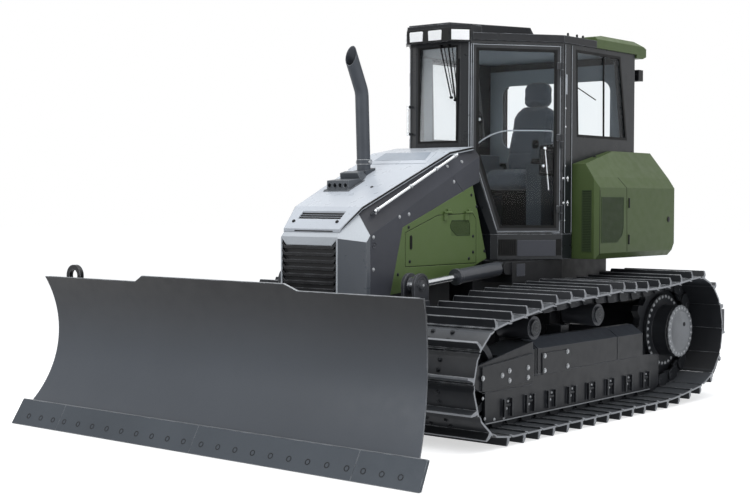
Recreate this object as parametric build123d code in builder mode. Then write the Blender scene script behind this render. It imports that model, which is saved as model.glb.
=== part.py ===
from build123d import *
import os
from math import acos, atan2, cos, hypot, pi, radians, sin

# A crawler bulldozer with wide shoes, a six-way blade on a C-shaped push frame and a three-shank ripper.
# Frame: +X forward, +Y to the driver's left, +Z up, origin on the ground under the middle of the whole.
# Lengths are millimetres. Places along the machine are counted forward from the sprocket's centre.

os.makedirs("parts", exist_ok=True)

# Ends of the machine and shared gaps
front_reach = 4355
rear_reach = 1450
sprocket_x = (rear_reach - front_reach) / 2
seat_gap = 0.3
pin_gap = 0.3
eye_gap = 6
door_gap = 5

# Track: shoes, chain rails and the wheels they run on
shoe_width = 762
track_gauge = 2152
track_y = track_gauge / 2
link_count = 42
link_phase = 0.35
shoe_lift = 53
shoe_thick = 14
shoe_end_gap = 3
grouser_height = 58
grouser_tip = 16
grouser_foot = 30
grouser_place = -62
rail_drop = 45
rail_thick = 40
rail_out = 82
tread_gap = 6
idler_gap = 15
sprocket_z = 575
sprocket_pitch_r = 398
sprocket_tooth_r = 428
sprocket_root_r = 366
sprocket_ring_r = 270
sprocket_teeth = 13
sprocket_thick = 60
idler_at = 2815
idler_tread_r = 265
idler_flange_r = 291
idler_half = 102
idler_web = 40
idler_rim = 50
idler_hub_r = 75
roller_tread_r = 95
roller_flange_r = 112
roller_first = 440
roller_last = 2440
roller_count = 8
roller_core_r = 82
roller_flange_in = 38
roller_flange_out = 58
carrier_r = 85
carrier_out = 152
carrier_cap = 62
# each carrier roller: forward place, height of the pins above it, sag of the run behind it
carrier_table = ((2128, 880, 6), (1235, 920, 34))
bottom_sag = 0

pin_line_z = grouser_height + shoe_thick + shoe_lift
idler_z = pin_line_z + rail_drop + idler_gap + idler_tread_r
roller_z = pin_line_z + rail_drop + tread_gap + roller_tread_r

# Track frame beam
beam_half = 127
beam_rear = 480
beam_front = 2105
beam_base = 390
beam_shoulder = 585
beam_crest = 655
beam_crest_half = 24
guard_thick = 22
guard_rib_half = 8
guard_rib_out = 22
guard_rib_top = 268
rib_offset = 48
guard_base = 114
guard_rear = 206
guard_front = 2704
yoke_top = 575
yoke_nose_top = 528
yoke_base = 342
yoke_front = 2870
cover_thick = 14
post_thick = 45
post_half = 30

# Main frame between the tracks
hull_half = 380
hull_rear = -350
hull_front = 3120
hull_base = 430
hull_deck = 800
hull_top = 1190
hull_step = 1700
cross_tube_at = 600
cross_tube_z = 500
cross_tube_r = 80
cross_bar_rear = 1290
cross_bar_front = 1400
cross_bar_base = 700
cross_bar_top = 790
cross_bar_half = 900
side_box_rear = 860
side_box_front = 1585
side_box_half = 672
side_box_base = 1020
drive_neck_r = 235
drive_drum_r = 258
drive_flange_r = 300
drive_flange_out = 1140
drive_flange_thick = 28
drive_inner_thick = 22
drive_cap_r = 212
drive_cap_out = 1285

# Push frame, its trunnions and its nose
trunnion_at = 1050
trunnion_z = 480
trunnion_r = 50
arm_inner = 600
arm_outer = 670
arm_eye_r = 95
arm_base = 395
arm_top = 545
arm_taper_run = 260
arm_taper_half = 70
nose_at = 3500
nose_r = 110
nose_pin_r = 55
crossbox_back = 3240
crossbox_front = 3330
crossbox_mid_back = 3380
crossbox_mid_front = 3480
crossbox_mid_half = 130

# Every cylinder: room past the ears, gland ring
ear_clear = 12
gland_length = 34
gland_rise = 6

# Lift cylinders
lift_y = 600
lift_eye_at = 2719
lift_eye_z = 1054
lift_pivot_at = 1635
lift_pivot_z = 1136
lift_barrel_r = 55
lift_barrel_end = 600
lift_rod_r = 25
lift_rod_start = 260
lift_eye_r = 62
lift_pivot_eye_r = 46
lift_eye_half = 30
lift_ear_r = 85
lift_ear_thick = 25
lift_pin_r = 26
lift_cap_r = 38

# Swivel between push frame and blade, and the angle cylinders
swivel_ear_thick = 40
swivel_gap = 5
swivel_back = 3650
swivel_front = 3760
swivel_half = 650
angle_z = 645
angle_pivot_at = 2500
angle_pivot_y = 512
angle_eye_y = 600
angle_barrel_r = 38
angle_barrel_end = 705
angle_rod_r = 20
angle_rod_start = 345
angle_eye_r = 38
angle_eye_half = 22
angle_ear_thick = 16
angle_pin_r = 18

# Tilt trunnion and cylinder
tilt_z = 470
tilt_pin_r = 70
tilt_pin_end = 3885
tilt_cyl_at = 3808
tilt_cyl_z = 860
tilt_cyl_y = 420
tilt_barrel_r = 45
tilt_barrel_end = 470
tilt_rod_r = 24
tilt_rod_start = 240
tilt_eye_r = 42
tilt_eye_half = 22
tilt_pivot_r = 22

# Blade
edge_height = 4
edge_slope = 60
edge_length = 198.6
edge_thick = 22
mold_thick = 20
mold_top_at = 4166
mold_mid_at = 4055
mold_mid_z = 640
mold_low_half = 1817
mold_mid_half = 1731
mold_side_top = 1088
mold_crown_top = 1131
crown_half = 670
crown_foot_half = 765
bit_low_half = mold_low_half + 85.5
bit_top_half = mold_low_half + 72
bit_seam = bit_low_half - 514.5
seam_gap = 2
back_beam_at = 3900
back_beam_base = 330
back_beam_top = 610
back_beam_half = 1300
rib_thick = 24
rib_places = (-1560, -1120, -700, -260, 260, 700, 1120, 1560)
rib_back = 3960
top_rail_base = 930
top_rail_top = 985
ring_y = -1515
ring_r = 62
ring_bar_r = 17
ring_back = 4051
ring_foot_half = 55

# Hood, nose, grille and side panels
hood_side_y = 412
panel_thick = 30
panel_seam = 0.4
shoulder_tuck = 20
hood_plate = 26
nose_front = 3185
nose_half = 273
nose_bevel_at = 3035
nose_rear = 2993
nose_base = 965
nose_lip_z = 1384
hood_lip_at = 3160
hood_lip_z = 1453
hood_brow_at = 2975
hood_brow_z = 1612
hood_break_at = 2011
hood_break_z = 2028
hood_rear_at = 1705
hood_rear_z = 2076
hood_lip_half = 262
hood_brow_half = 322
hood_break_half = 384
crease_z_front = 1415
crease_z_rear = 2005
crease_rear_at = 1673
side_rear_at = 1664
leaf_hinge_places = (1818, 2088)
leaf_hinge_z = 1566
leaf_hinge_out = 12
leaf_hinge_r = 9
leaf_knuckle = 44
grille_half = 258
grille_base = 1005
grille_top = 1336
grille_corner = 40
grille_depth = 34
slot_places = (3078, 3014)
slot_half = 205
slot_depth = 16
slat_count = 7
slat_height = 20
slat_upturn = 26
engine_rear = 1900
engine_front = 2900
engine_half = 300
engine_top = 1500

# Exhaust and air inlet
exhaust_y = -150
exhaust_at = 2390
exhaust_r = 52
exhaust_wall = 5
exhaust_foot_z = 1780
exhaust_bend_at = exhaust_at + 31
exhaust_bend_z = 2480
exhaust_tip_run = 360
exhaust_lean = 26
# the cut across the pipe's top: place and height of its upper and lower end
exhaust_mouth = ((2531, 2815), (2572, 2655))
inlet_at = 2625
inlet_length = 150
inlet_half = 105
inlet_height = 74

# Cab
cab_floor = 1392
cab_base_z = 1190.3
cab_kink = 2046
cab_eave = 2916
cab_wall = 60
cab_front_at = 1660
cab_front_half = 220
cab_a_at = 1630
cab_a_half = 300
cab_b_at = 1008
cab_half = 760
cab_rear_at = -150
cab_foot_front = 1492
cab_foot_front_half = 400
cab_foot_a_at = 1463
cab_foot_a_half = 450
glass_thick = 8
door_thick = 46
door_frame = 46
door_head = 24
door_edge = 12
roof_thick = 58
roof_over = 14
visor_front = 1789
visor_half = 205
visor_side_at = 1652
visor_side_half = 320
visor_base = cab_eave - 14
visor_top = cab_eave + 118
roof_step_front = 1778
roof_step_tip = 198
roof_step_rear = 1090
roof_step_run = 70
roof_step_half = 500
roof_step_top = cab_eave + 130
roof_cover_front = 510
roof_cover_rear = -325
roof_cover_top = cab_eave + 114
front_lamp_places = (-110, 110)
lamp_half = 68
side_lamp_half = 56
lamp_base = cab_eave + 20
lamp_top = lamp_base + 68
lamp_depth = 30
rear_lamp_y = 700
rear_lamp_z = cab_eave - 172
rear_lamp_stand = 70
windshield_half = 186
windshield_base = 2125
windshield_top = cab_eave - 48
rear_window_half = 560
rear_window_base = 2130
rear_window_top = cab_eave - 136
side_window_top = cab_eave - 54
# corners of a side window: forward place, height
side_window = ((-6, 2190), (114, side_window_top), (800, side_window_top), (776, 2190))
hinge_heights = (1560, 2130, 2700)
hinge_r = 13
seat_at = 190
seat_top = 1900
seat_half = 255
seat_run = 520
seat_depth = 150
seat_post_half = 190
seat_back_half = 250
seat_back_height = 590
seat_back_thick = 110
seat_back_lean = 140
headrest_half = 125
headrest_height = 790
seat_corner = 14
console_in = 285
console_out = 430
console_run = 500
console_rise = 60
armrest_rise = 150
lever_rise = 190
front_console_half = 150
# each end of a handrail: forward place, distance from the middle, height
rail_ends = ((2903, 385, 1581), (1997, 432, 2002))
rail_r = 12
rail_foot_r = 8
grab_low = 2180
grab_high = 2420
grab_y = 262
grab_stand = 48
grab_r = 11

# Rear body, ripper
body_rear = -437
body_front = 862
body_half = 1000
body_base = 1190.3
body_crest = 2072
body_crest_at = 308
body_front_z = 1950
body_ridge_half = 955
body_ridge_z = 1850
body_shoulder_z = 1765
body_corner = 34
body_ledge = 48
body_hem = 46
body_hem_run = 26
body_tail_lean = 94
body_tuck_rise = 110
body_tuck_run = 76
ripper_pin_at = -500
ripper_beam_pin_at = -1180
ripper_low_z = 480
ripper_high_z = 810
ripper_pin_r = 30
ripper_arm_y = 400
ripper_link_y = 250
ripper_arm_half = 30
ripper_eye_r = 62
ripper_ear_thick = 24
beam_side = 206
beam_low = 451
ripper_half = 1000
shank_thick = 50
shank_places = (-960, 0, 960)
shank_front = -1290
shank_depth = 110
shank_bend_z = 330
shank_tip_at = -1130
shank_tip_z = 12
ripper_cyl_y = 120
ripper_cyl_at = -470
ripper_cyl_z = 960
ripper_rod_at = -1120
ripper_rod_z = 560
ripper_barrel_r = 48
ripper_barrel_end = 465
ripper_rod_r = 22
ripper_rod_start = 280
ripper_cyl_eye_r = 42
ripper_cyl_eye_half = 24
ripper_pivot_r = 22

sides = ((1, "left"), (-1, "right"))


def side_plane(y):
    """Upright plane along the machine: local x forward of the sprocket, local y up, extrudes to -Y."""
    return Plane(origin=(sprocket_x, y, 0), x_dir=(1, 0, 0), z_dir=(0, -1, 0))


def floor_plane(z):
    """Level plane: local x forward of the sprocket, local y to the left, extrudes up."""
    return Plane(origin=(sprocket_x, 0, z), x_dir=(1, 0, 0), z_dir=(0, 0, 1))


def cross_plane(at):
    """Upright plane across the machine: local x to the left, local y up, extrudes forward."""
    return Plane(origin=(sprocket_x + at, 0, 0), x_dir=(0, 1, 0), z_dir=(1, 0, 0))


def outline(plane, points):
    """Flat face inside straight runs from point to point."""
    with BuildSketch(plane) as flat:
        with BuildLine():
            Polyline(*points, close=True)
        make_face()
    return flat.sketch


def disc(plane, at, radius):
    """Round face centred at a point of the plane."""
    with BuildSketch(plane) as flat:
        with Locations(at):
            Circle(radius)
    return flat.sketch


def plate(points, y_low, y_high, mode=Mode.ADD):
    """Upright plate with its outline in the side view, between two widths."""
    extrude(outline(side_plane(y_high), points), amount=y_high - y_low, mode=mode)


def block(at_low, at_high, y_low, y_high, z_low, z_high, mode=Mode.ADD):
    """Rectangular block between two places along, across and up."""
    corners = ((at_low, z_low), (at_high, z_low), (at_high, z_high), (at_low, z_high))
    plate(corners, y_low, y_high, mode)


def bar_across(at, z, y_low, y_high, radius, mode=Mode.ADD):
    """Round bar across the machine."""
    extrude(disc(side_plane(y_high), (at, z), radius), amount=y_high - y_low, mode=mode)


def bar_up(at, y, z_low, z_high, radius, mode=Mode.ADD):
    """Round upright bar."""
    extrude(disc(floor_plane(z_low), (at, y), radius), amount=z_high - z_low, mode=mode)


def bar_along(y, z, at_low, at_high, radius, mode=Mode.ADD):
    """Round bar along the machine."""
    extrude(disc(cross_plane(at_low), (y, z), radius), amount=at_high - at_low, mode=mode)


def both_sides(low, high, side):
    """Widths of a piece between low and high on the left, mirrored for the right."""
    return (low, high) if side > 0 else (-high, -low)


def run_plane(start, end, pin_dir):
    """Plane at a cylinder's fixed pin: local z runs to the far pin, local x along the pins."""
    head = Vector(*start)
    tail = Vector(*end)
    return Plane(origin=head, x_dir=pin_dir, z_dir=(tail - head).normalized())


def place(at, y, z):
    """A point of the model from its place forward of the sprocket."""
    return (sprocket_x + at, y, z)


def stem(plane, start, end, radius, mode=Mode.ADD):
    """Round bar along a cylinder's run, between two distances from its fixed pin."""
    extrude(disc(plane.offset(start), (0, 0), radius), amount=end - start, mode=mode)


def knuckle(plane, distance, radius, half, mode=Mode.ADD):
    """Round eye whose axis lies along the pins, at a distance down the run."""
    centre = plane.from_local_coords((-half, 0, distance))
    eye = Plane(origin=centre, x_dir=plane.z_dir, z_dir=plane.x_dir)
    extrude(disc(eye, (0, 0), radius), amount=2 * half, mode=mode)


def barrel(plane, end, radius, rod_r, eye_r, eye_half, pin_r):
    """Cylinder barrel: rear eye with its bore, neck, tube, gland ring and the bore the rod slides in."""
    knuckle(plane, 0, eye_r, eye_half)
    stem(plane, pin_r + 6, eye_r + ear_clear, eye_half - 2)
    stem(plane, eye_r + ear_clear, end, radius)
    stem(plane, end - gland_length, end, radius + gland_rise)
    stem(plane, eye_r + ear_clear + 6, end, rod_r + pin_gap, Mode.SUBTRACT)
    knuckle(plane, 0, pin_r + pin_gap, eye_half + 1, Mode.SUBTRACT)


def rod(plane, start, length, rod_r, eye_r, eye_half):
    """Cylinder rod with a plain eye at its far end."""
    stem(plane, start, length, rod_r)
    knuckle(plane, length, eye_r, eye_half)


# Chain loop: round the first roller, idler, carriers and sprocket
# each wheel: forward place, height, radius at the pins, sag of the run that leaves it
first_wheel = (roller_first, roller_z, roller_z - pin_line_z, bottom_sag)
idler_wheel = (idler_at, idler_z, idler_z - pin_line_z, 2)
carrier_reach = carrier_r + tread_gap + rail_drop
carrier_wheels = [(at, pins - carrier_reach, carrier_reach, sag) for at, pins, sag in carrier_table]
sprocket_wheel = (0, sprocket_z, sprocket_pitch_r, 0)
wheel_table = [first_wheel, idler_wheel, *carrier_wheels, sprocket_wheel]


def tangent_angle(first, second):
    """Direction of the outward normal on the run from one wheel to the next."""
    along = second[0] - first[0]
    up = second[1] - first[1]
    return atan2(up, along) - acos((first[2] - second[2]) / hypot(along, up))


def loop_points(wheels, arc_step=radians(3), run_steps=16):
    """Closely spaced points along the whole pin line."""
    points = []
    for index, wheel in enumerate(wheels):
        before = wheels[index - 1]
        after = wheels[(index + 1) % len(wheels)]
        angle_in = tangent_angle(before, wheel)
        angle_out = tangent_angle(wheel, after)
        turn = (angle_out - angle_in) % (2 * pi)
        steps = max(1, int(turn / arc_step))
        for step in range(steps + 1):
            angle = angle_in + turn * step / steps
            points.append((wheel[0] + wheel[2] * cos(angle), wheel[1] + wheel[2] * sin(angle)))
        start = points[-1]
        end = (after[0] + after[2] * cos(angle_out), after[1] + after[2] * sin(angle_out))
        for step in range(1, run_steps):
            share = step / run_steps
            dip = wheel[3] * 4 * share * (1 - share)
            at = start[0] + (end[0] - start[0]) * share
            up = start[1] + (end[1] - start[1]) * share
            points.append((at - dip * cos(angle_out), up - dip * sin(angle_out)))
    return points


def pins_along(points, count, phase):
    """Pin places at equal distances along the closed line."""
    closed = points + [points[0]]
    reach = [0]
    for first, second in zip(closed, closed[1:]):
        reach.append(reach[-1] + hypot(second[0] - first[0], second[1] - first[1]))
    pitch = reach[-1] / count
    pins = []
    spot = 0
    for number in range(count):
        wanted = (number + phase) * pitch
        while reach[spot + 1] < wanted:
            spot += 1
        share = (wanted - reach[spot]) / (reach[spot + 1] - reach[spot])
        first, second = closed[spot], closed[spot + 1]
        pins.append((first[0] + (second[0] - first[0]) * share, first[1] + (second[1] - first[1]) * share))
    return pins


def link_frames(pins):
    """For each link: its middle, its forward direction, its outward direction and its length."""
    frames = []
    for first, second in zip(pins, pins[1:] + pins[:1]):
        length = hypot(second[0] - first[0], second[1] - first[1])
        along = ((second[0] - first[0]) / length, (second[1] - first[1]) / length)
        out = (along[1], -along[0])
        middle = ((first[0] + second[0]) / 2, (first[1] + second[1]) / 2)
        frames.append((middle, along, out, length))
    return frames


def band(pins, lift):
    """Loop that runs outside the pins by the given lift, inside them where it is negative."""
    frames = link_frames(pins)
    points = []
    for number, pin in enumerate(pins):
        before = frames[number - 1][2]
        after = frames[number][2]
        size = 1 + before[0] * after[0] + before[1] * after[1]
        normal = ((before[0] + after[0]) / size, (before[1] + after[1]) / size)
        points.append((pin[0] + lift * normal[0], pin[1] + lift * normal[1]))
    return points


def shoe_outline(pins):
    """Outside of the loop: each shoe's plate with its single grouser."""
    plate_out = shoe_lift + shoe_thick
    points = []
    for middle, along, out, length in link_frames(pins):
        reach = length / 2 - shoe_end_gap
        # each corner of the shoe: distance along the link, distance out of the pin line
        corners = (
            (-reach, plate_out),
            (grouser_place - grouser_foot / 2, plate_out),
            (grouser_place - grouser_tip / 2, plate_out + grouser_height),
            (grouser_place + grouser_tip / 2, plate_out + grouser_height),
            (grouser_place + grouser_foot / 2, plate_out),
            (reach, plate_out),
        )
        for step, rise in corners:
            at = middle[0] + step * along[0] + rise * out[0]
            points.append((at, middle[1] + step * along[1] + rise * out[1]))
    return points


chain_pins = pins_along(loop_points(wheel_table), link_count, link_phase)

# Tracks, one closed loop of shoes and two chain rails a side
for side, where in sides:
    centre = side * track_y
    with BuildPart() as track:
        plane = side_plane(centre + shoe_width / 2)
        extrude(outline(plane, shoe_outline(chain_pins)), amount=shoe_width)
        extrude(outline(plane, band(chain_pins, shoe_lift)), amount=shoe_width, mode=Mode.SUBTRACT)
        for rail_side in (-1, 1):
            rail_plane = side_plane(centre + rail_side * rail_out + rail_thick / 2)
            with BuildSketch(rail_plane):
                with BuildLine():
                    Polyline(*band(chain_pins, shoe_lift + shoe_thick / 2), close=True)
                make_face()
                with BuildLine():
                    Polyline(*band(chain_pins, seat_gap - rail_drop), close=True)
                make_face(mode=Mode.SUBTRACT)
            extrude(amount=rail_thick)
    track.part.label = where + "_track"
    export_step(track.part, "parts/" + where + "_track.step")

# Sprockets: toothed rings between the chain rails, carried by the final drives
with BuildPart() as sprockets:
    for side, where in sides:
        outer_y = side * track_y + sprocket_thick / 2
        tooth_points = []
        for number in range(sprocket_teeth):
            # each corner of a tooth: share of the tooth step, radius
            for share, radius in (
                (-0.32, sprocket_root_r),
                (-0.12, sprocket_tooth_r),
                (0.12, sprocket_tooth_r),
                (0.32, sprocket_root_r),
            ):
                angle = 2 * pi * (number + share) / sprocket_teeth
                tooth_points.append((radius * cos(angle), sprocket_z + radius * sin(angle)))
        plate(tooth_points, outer_y - sprocket_thick, outer_y)
        bar_across(0, sprocket_z, outer_y - sprocket_thick, outer_y, sprocket_ring_r, Mode.SUBTRACT)
sprockets.part.label = "sprockets"
export_step(sprockets.part, "parts/sprockets.step")

# Final drives: necks from the hull, drums inside the sprockets, flanges and outer caps
with BuildPart() as final_drives:
    for side, where in sides:
        # each step of the drive: inner width, outer width, radius
        for low, high, radius in (
            (hull_half + seat_gap, track_y - shoe_width / 2, drive_neck_r),
            (track_y - shoe_width / 2, track_y + sprocket_thick / 2, drive_drum_r),
            (track_y + sprocket_thick / 2, drive_flange_out - drive_flange_thick, sprocket_ring_r - 30),
            (drive_flange_out - drive_flange_thick, drive_flange_out, drive_flange_r),
            (drive_flange_out, drive_cap_out, drive_cap_r),
        ):
            y_low, y_high = both_sides(low, high, side)
            bar_across(0, sprocket_z, y_low, y_high, radius)
        inner_face = track_y - sprocket_thick / 2 - seat_gap
        y_low, y_high = both_sides(inner_face - drive_inner_thick, inner_face, side)
        bar_across(0, sprocket_z, y_low, y_high, drive_flange_r)
    rims = final_drives.faces().filter_by(Plane.XZ).sort_by(Axis.Y)
    chamfer(rims[0].edges(), 18)
    chamfer(rims[-1].edges(), 18)
final_drives.part.label = "final_drives"
export_step(final_drives.part, "parts/final_drives.step")

# Idlers: a tread each side of a central flange
with BuildPart() as idlers:
    for side, where in sides:
        middle = side * track_y
        bar_across(idler_at, idler_z, middle - idler_half, middle + idler_half, idler_tread_r)
        flange_half = rail_out - rail_thick
        bar_across(idler_at, idler_z, middle - flange_half, middle + flange_half, idler_flange_r)
        for face in (-1, 1):
            low, high = sorted((middle + face * idler_web, middle + face * idler_half))
            bar_across(idler_at, idler_z, low, high, idler_tread_r - idler_rim, Mode.SUBTRACT)
            hub_reach = beam_half - guard_thick - seat_gap
            low, high = sorted((middle + face * idler_web, middle + face * hub_reach))
            bar_across(idler_at, idler_z, low, high, idler_hub_r)
idlers.part.label = "idlers"
export_step(idlers.part, "parts/idlers.step")

# Track rollers: a row under each beam, held at their shafts by the guards
roller_step = (roller_last - roller_first) / (roller_count - 1)
guard_inner = beam_half - guard_thick
with BuildPart() as track_rollers:
    for side, where in sides:
        middle = side * track_y
        for number in range(roller_count):
            at = roller_first + number * roller_step
            reach = guard_inner - seat_gap
            bar_across(at, roller_z, middle - roller_flange_in, middle + roller_flange_in, roller_core_r)
            for face in (-1, 1):
                flange = sorted((middle + face * roller_flange_in, middle + face * roller_flange_out))
                bar_across(at, roller_z, *flange, roller_flange_r)
                tread = sorted((middle + face * roller_flange_out, middle + face * reach))
                bar_across(at, roller_z, *tread, roller_tread_r)
track_rollers.part.label = "track_rollers"
export_step(track_rollers.part, "parts/track_rollers.step")

# Carrier rollers: two a side under the upper run, on the posts of the beam
with BuildPart() as carrier_rollers:
    for side, where in sides:
        for at, pins, sag in carrier_table:
            centre_z = pins - carrier_reach
            inner = track_y - beam_half + seat_gap
            y_low, y_high = both_sides(inner, track_y + carrier_out, side)
            bar_across(at, centre_z, y_low, y_high, carrier_r)
            y_low, y_high = both_sides(track_y + carrier_out, track_y + carrier_out + 16, side)
            bar_across(at, centre_z, y_low, y_high, carrier_cap)
carrier_rollers.part.label = "carrier_rollers"
export_step(carrier_rollers.part, "parts/carrier_rollers.step")

# Track frames: chamfered beam, roller guards, idler yoke, cover plates and carrier posts
with BuildPart() as track_frames:
    for side, where in sides:
        middle = side * track_y
        section = (
            (middle - beam_half, beam_base),
            (middle - beam_half, beam_shoulder),
            (middle - beam_crest_half, beam_crest),
            (middle + beam_crest_half, beam_crest),
            (middle + beam_half, beam_shoulder),
            (middle + beam_half, beam_base),
        )
        extrude(outline(cross_plane(beam_rear), section), amount=beam_front - beam_rear)
        yoke_back = idler_at - idler_flange_r - 8
        yoke_block = (
            (beam_front, beam_base),
            (beam_front, beam_crest - 12),
            (yoke_back, yoke_top),
            (yoke_back, beam_base),
        )
        plate(yoke_block, middle - beam_half, middle + beam_half)
        for face in (-1, 1):
            low, high = sorted((middle + face * guard_inner, middle + face * beam_half))
            guard = (
                (guard_rear, guard_base + 26),
                (guard_rear, beam_base),
                (beam_rear, beam_base + 20),
                (guard_front, beam_base + 20),
                (guard_front, guard_base),
                (guard_rear + 150, guard_base),
            )
            plate(guard, low, high)
            yoke = (
                (beam_front, yoke_base),
                (beam_front, yoke_top),
                (yoke_back, yoke_top),
                (idler_at - 30, yoke_nose_top),
                (yoke_front, yoke_nose_top - 30),
                (yoke_front, idler_z - 55),
                (idler_at - 60, yoke_base),
            )
            plate(yoke, low, high)
            bar_across(idler_at, idler_z, low, high, 62)
        y_low, y_high = both_sides(track_y + beam_half, track_y + beam_half + cover_thick, side)
        cover = (
            (beam_front + 12, yoke_base + 22),
            (beam_front + 12, yoke_top - 14),
            (idler_at - 60, yoke_nose_top - 12),
            (idler_at - 60, yoke_base + 8),
        )
        plate(cover, y_low, y_high)
        for number in range(roller_count):
            at = roller_first + number * roller_step
            y_low, y_high = both_sides(track_y + beam_half, track_y + beam_half + guard_rib_out, side)
            for rib_at in (at - rib_offset, at + rib_offset):
                low, high = rib_at - guard_rib_half, rib_at + guard_rib_half
                block(low, high, y_low, y_high, guard_base + 26, guard_rib_top)
        y_low, y_high = both_sides(track_y - beam_half - post_thick, track_y - beam_half, side)
        for at, pins, sag in carrier_table:
            centre_z = pins - carrier_reach
            block(at - post_half, at + post_half, y_low, y_high, beam_base + 40, centre_z + 30)
        y_low, y_high = both_sides(cross_bar_half - 30, track_y - beam_half + 52, side)
        foot_top = cross_bar_base - seat_gap
        block(cross_bar_rear, cross_bar_front, y_low, y_high, beam_shoulder - 30, foot_top)
        tube_low, tube_high = both_sides(track_y - beam_half - 30, track_y - beam_half + 5, side)
        bar_across(cross_tube_at, cross_tube_z, tube_low, tube_high, cross_tube_r + 22)
track_frames.part.label = "track_frames"
export_step(track_frames.part, "parts/track_frames.step")

# Main frame: hull, cross members, side boxes with the lift cylinders' ears, push frame trunnions
with BuildPart() as main_frame:
    block(hull_rear, hull_front, -hull_half, hull_half, hull_base, hull_deck)
    block(hull_rear, hull_step, -hull_half, hull_half, hull_deck, hull_top)
    block(hull_front - 180, hull_front, -hull_half - 30, hull_half + 30, hull_deck - 60, nose_base - seat_gap)
    tube_reach = track_y - beam_half - 30 - seat_gap
    bar_across(cross_tube_at, cross_tube_z, -tube_reach, tube_reach, cross_tube_r)
    block(cross_bar_rear, cross_bar_front, -cross_bar_half, cross_bar_half, cross_bar_base, cross_bar_top)
    for side, where in sides:
        y_low, y_high = both_sides(hull_half, side_box_half, side)
        block(side_box_rear, side_box_front, y_low, y_high, side_box_base, hull_top - 6)
        y_low, y_high = both_sides(hull_half, arm_inner - eye_gap, side)
        bar_across(trunnion_at, trunnion_z, y_low, y_high, trunnion_r + 32)
        y_low, y_high = both_sides(hull_half, arm_outer + 6, side)
        bar_across(trunnion_at, trunnion_z, y_low, y_high, trunnion_r)
        for face in (-1, 1):
            near = lift_y + face * (lift_eye_half + 4)
            far = lift_y + face * (lift_eye_half + 4 + lift_ear_thick)
            y_low, y_high = both_sides(min(near, far), max(near, far), side)
            bar_across(lift_pivot_at, lift_pivot_z, y_low, y_high, 50)
            block(side_box_front - 20, lift_pivot_at, y_low, y_high, lift_pivot_z - 50, lift_pivot_z + 48)
        reach = lift_eye_half + 4 + lift_ear_thick
        y_low, y_high = both_sides(lift_y - reach, lift_y + reach, side)
        bar_across(lift_pivot_at, lift_pivot_z, y_low, y_high, lift_pin_r)
main_frame.part.label = "main_frame"
export_step(main_frame.part, "parts/main_frame.step")

# Push frame: side arms, lift ears, brackets of the angle cylinders, cross box with its nose and pin
ear_in = lift_eye_half + eye_gap
ear_out = ear_in + lift_ear_thick
with BuildPart() as push_frame:
    for side, where in sides:
        y_low, y_high = both_sides(arm_inner, arm_outer, side)
        arm = (
            (trunnion_at, trunnion_z - arm_taper_half),
            (trunnion_at, trunnion_z + arm_taper_half),
            (trunnion_at + arm_taper_run, arm_top),
            (crossbox_front, arm_top),
            (crossbox_front, arm_base),
            (trunnion_at + arm_taper_run, arm_base),
        )
        plate(arm, y_low, y_high)
        bar_across(trunnion_at, trunnion_z, y_low, y_high, arm_eye_r)
        bar_across(trunnion_at, trunnion_z, y_low, y_high, trunnion_r + pin_gap, Mode.SUBTRACT)
        post = (
            (lift_eye_at - 130, arm_top - 20),
            (lift_eye_at - 78, lift_eye_z - 150),
            (lift_eye_at + 78, lift_eye_z - 150),
            (lift_eye_at + 150, arm_top - 20),
        )
        plate(post, y_low, y_high)
        y_low, y_high = both_sides(lift_y - ear_out, arm_outer, side)
        block(lift_eye_at - 80, lift_eye_at + 80, y_low, y_high, lift_eye_z - 190, lift_eye_z - 110)
        for face in (-1, 1):
            near = lift_y + face * ear_in
            far = lift_y + face * ear_out
            y_low, y_high = both_sides(min(near, far), max(near, far), side)
            bar_across(lift_eye_at, lift_eye_z, y_low, y_high, lift_ear_r)
            ear = (
                (lift_eye_at - 80, lift_eye_z - 120),
                (lift_eye_at - lift_ear_r, lift_eye_z),
                (lift_eye_at + lift_ear_r, lift_eye_z),
                (lift_eye_at + 80, lift_eye_z - 120),
            )
            plate(ear, y_low, y_high)
            cap_near = lift_y + face * ear_out
            cap_far = lift_y + face * (ear_out + 10)
            y_low, y_high = both_sides(min(cap_near, cap_far), max(cap_near, cap_far), side)
            bar_across(lift_eye_at, lift_eye_z, y_low, y_high, lift_cap_r)
        angle_top = angle_z + angle_eye_half + 3 + angle_ear_thick
        y_low, y_high = both_sides(arm_inner, arm_outer, side)
        block(angle_pivot_at - 45, angle_pivot_at + 45, y_low, y_high, arm_top - 10, angle_top)
        for face in (-1, 1):
            near = angle_z + face * (angle_eye_half + 3)
            far = near + face * angle_ear_thick
            low, high = sorted((near, far))
            y_low, y_high = both_sides(angle_pivot_y, arm_outer, side)
            block(angle_pivot_at - 38, angle_pivot_at + 38, y_low, y_high, low, high)
            bar_up(angle_pivot_at, side * angle_pivot_y, low, high, 38)
        reach = angle_eye_half + 3 + angle_ear_thick
        bar_up(angle_pivot_at, side * angle_pivot_y, angle_z - reach, angle_z + reach, angle_pin_r)
    crossbox = (
        (crossbox_back, arm_outer),
        (crossbox_front, arm_outer),
        (crossbox_mid_front, crossbox_mid_half),
        (crossbox_mid_front, -crossbox_mid_half),
        (crossbox_front, -arm_outer),
        (crossbox_back, -arm_outer),
        (crossbox_back, -arm_inner),
        (crossbox_mid_back, -crossbox_mid_half),
        (crossbox_mid_back, crossbox_mid_half),
        (crossbox_back, arm_inner),
    )
    extrude(outline(floor_plane(arm_base), crossbox), amount=arm_top - arm_base)
    bar_up(nose_at, 0, arm_base, arm_top, nose_r)
    pin_reach = swivel_gap + swivel_ear_thick + 8
    bar_up(nose_at, 0, arm_base - pin_reach, arm_top + pin_reach, nose_pin_r)
push_frame.part.label = "push_frame"
export_step(push_frame.part, "parts/push_frame.step")

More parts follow.
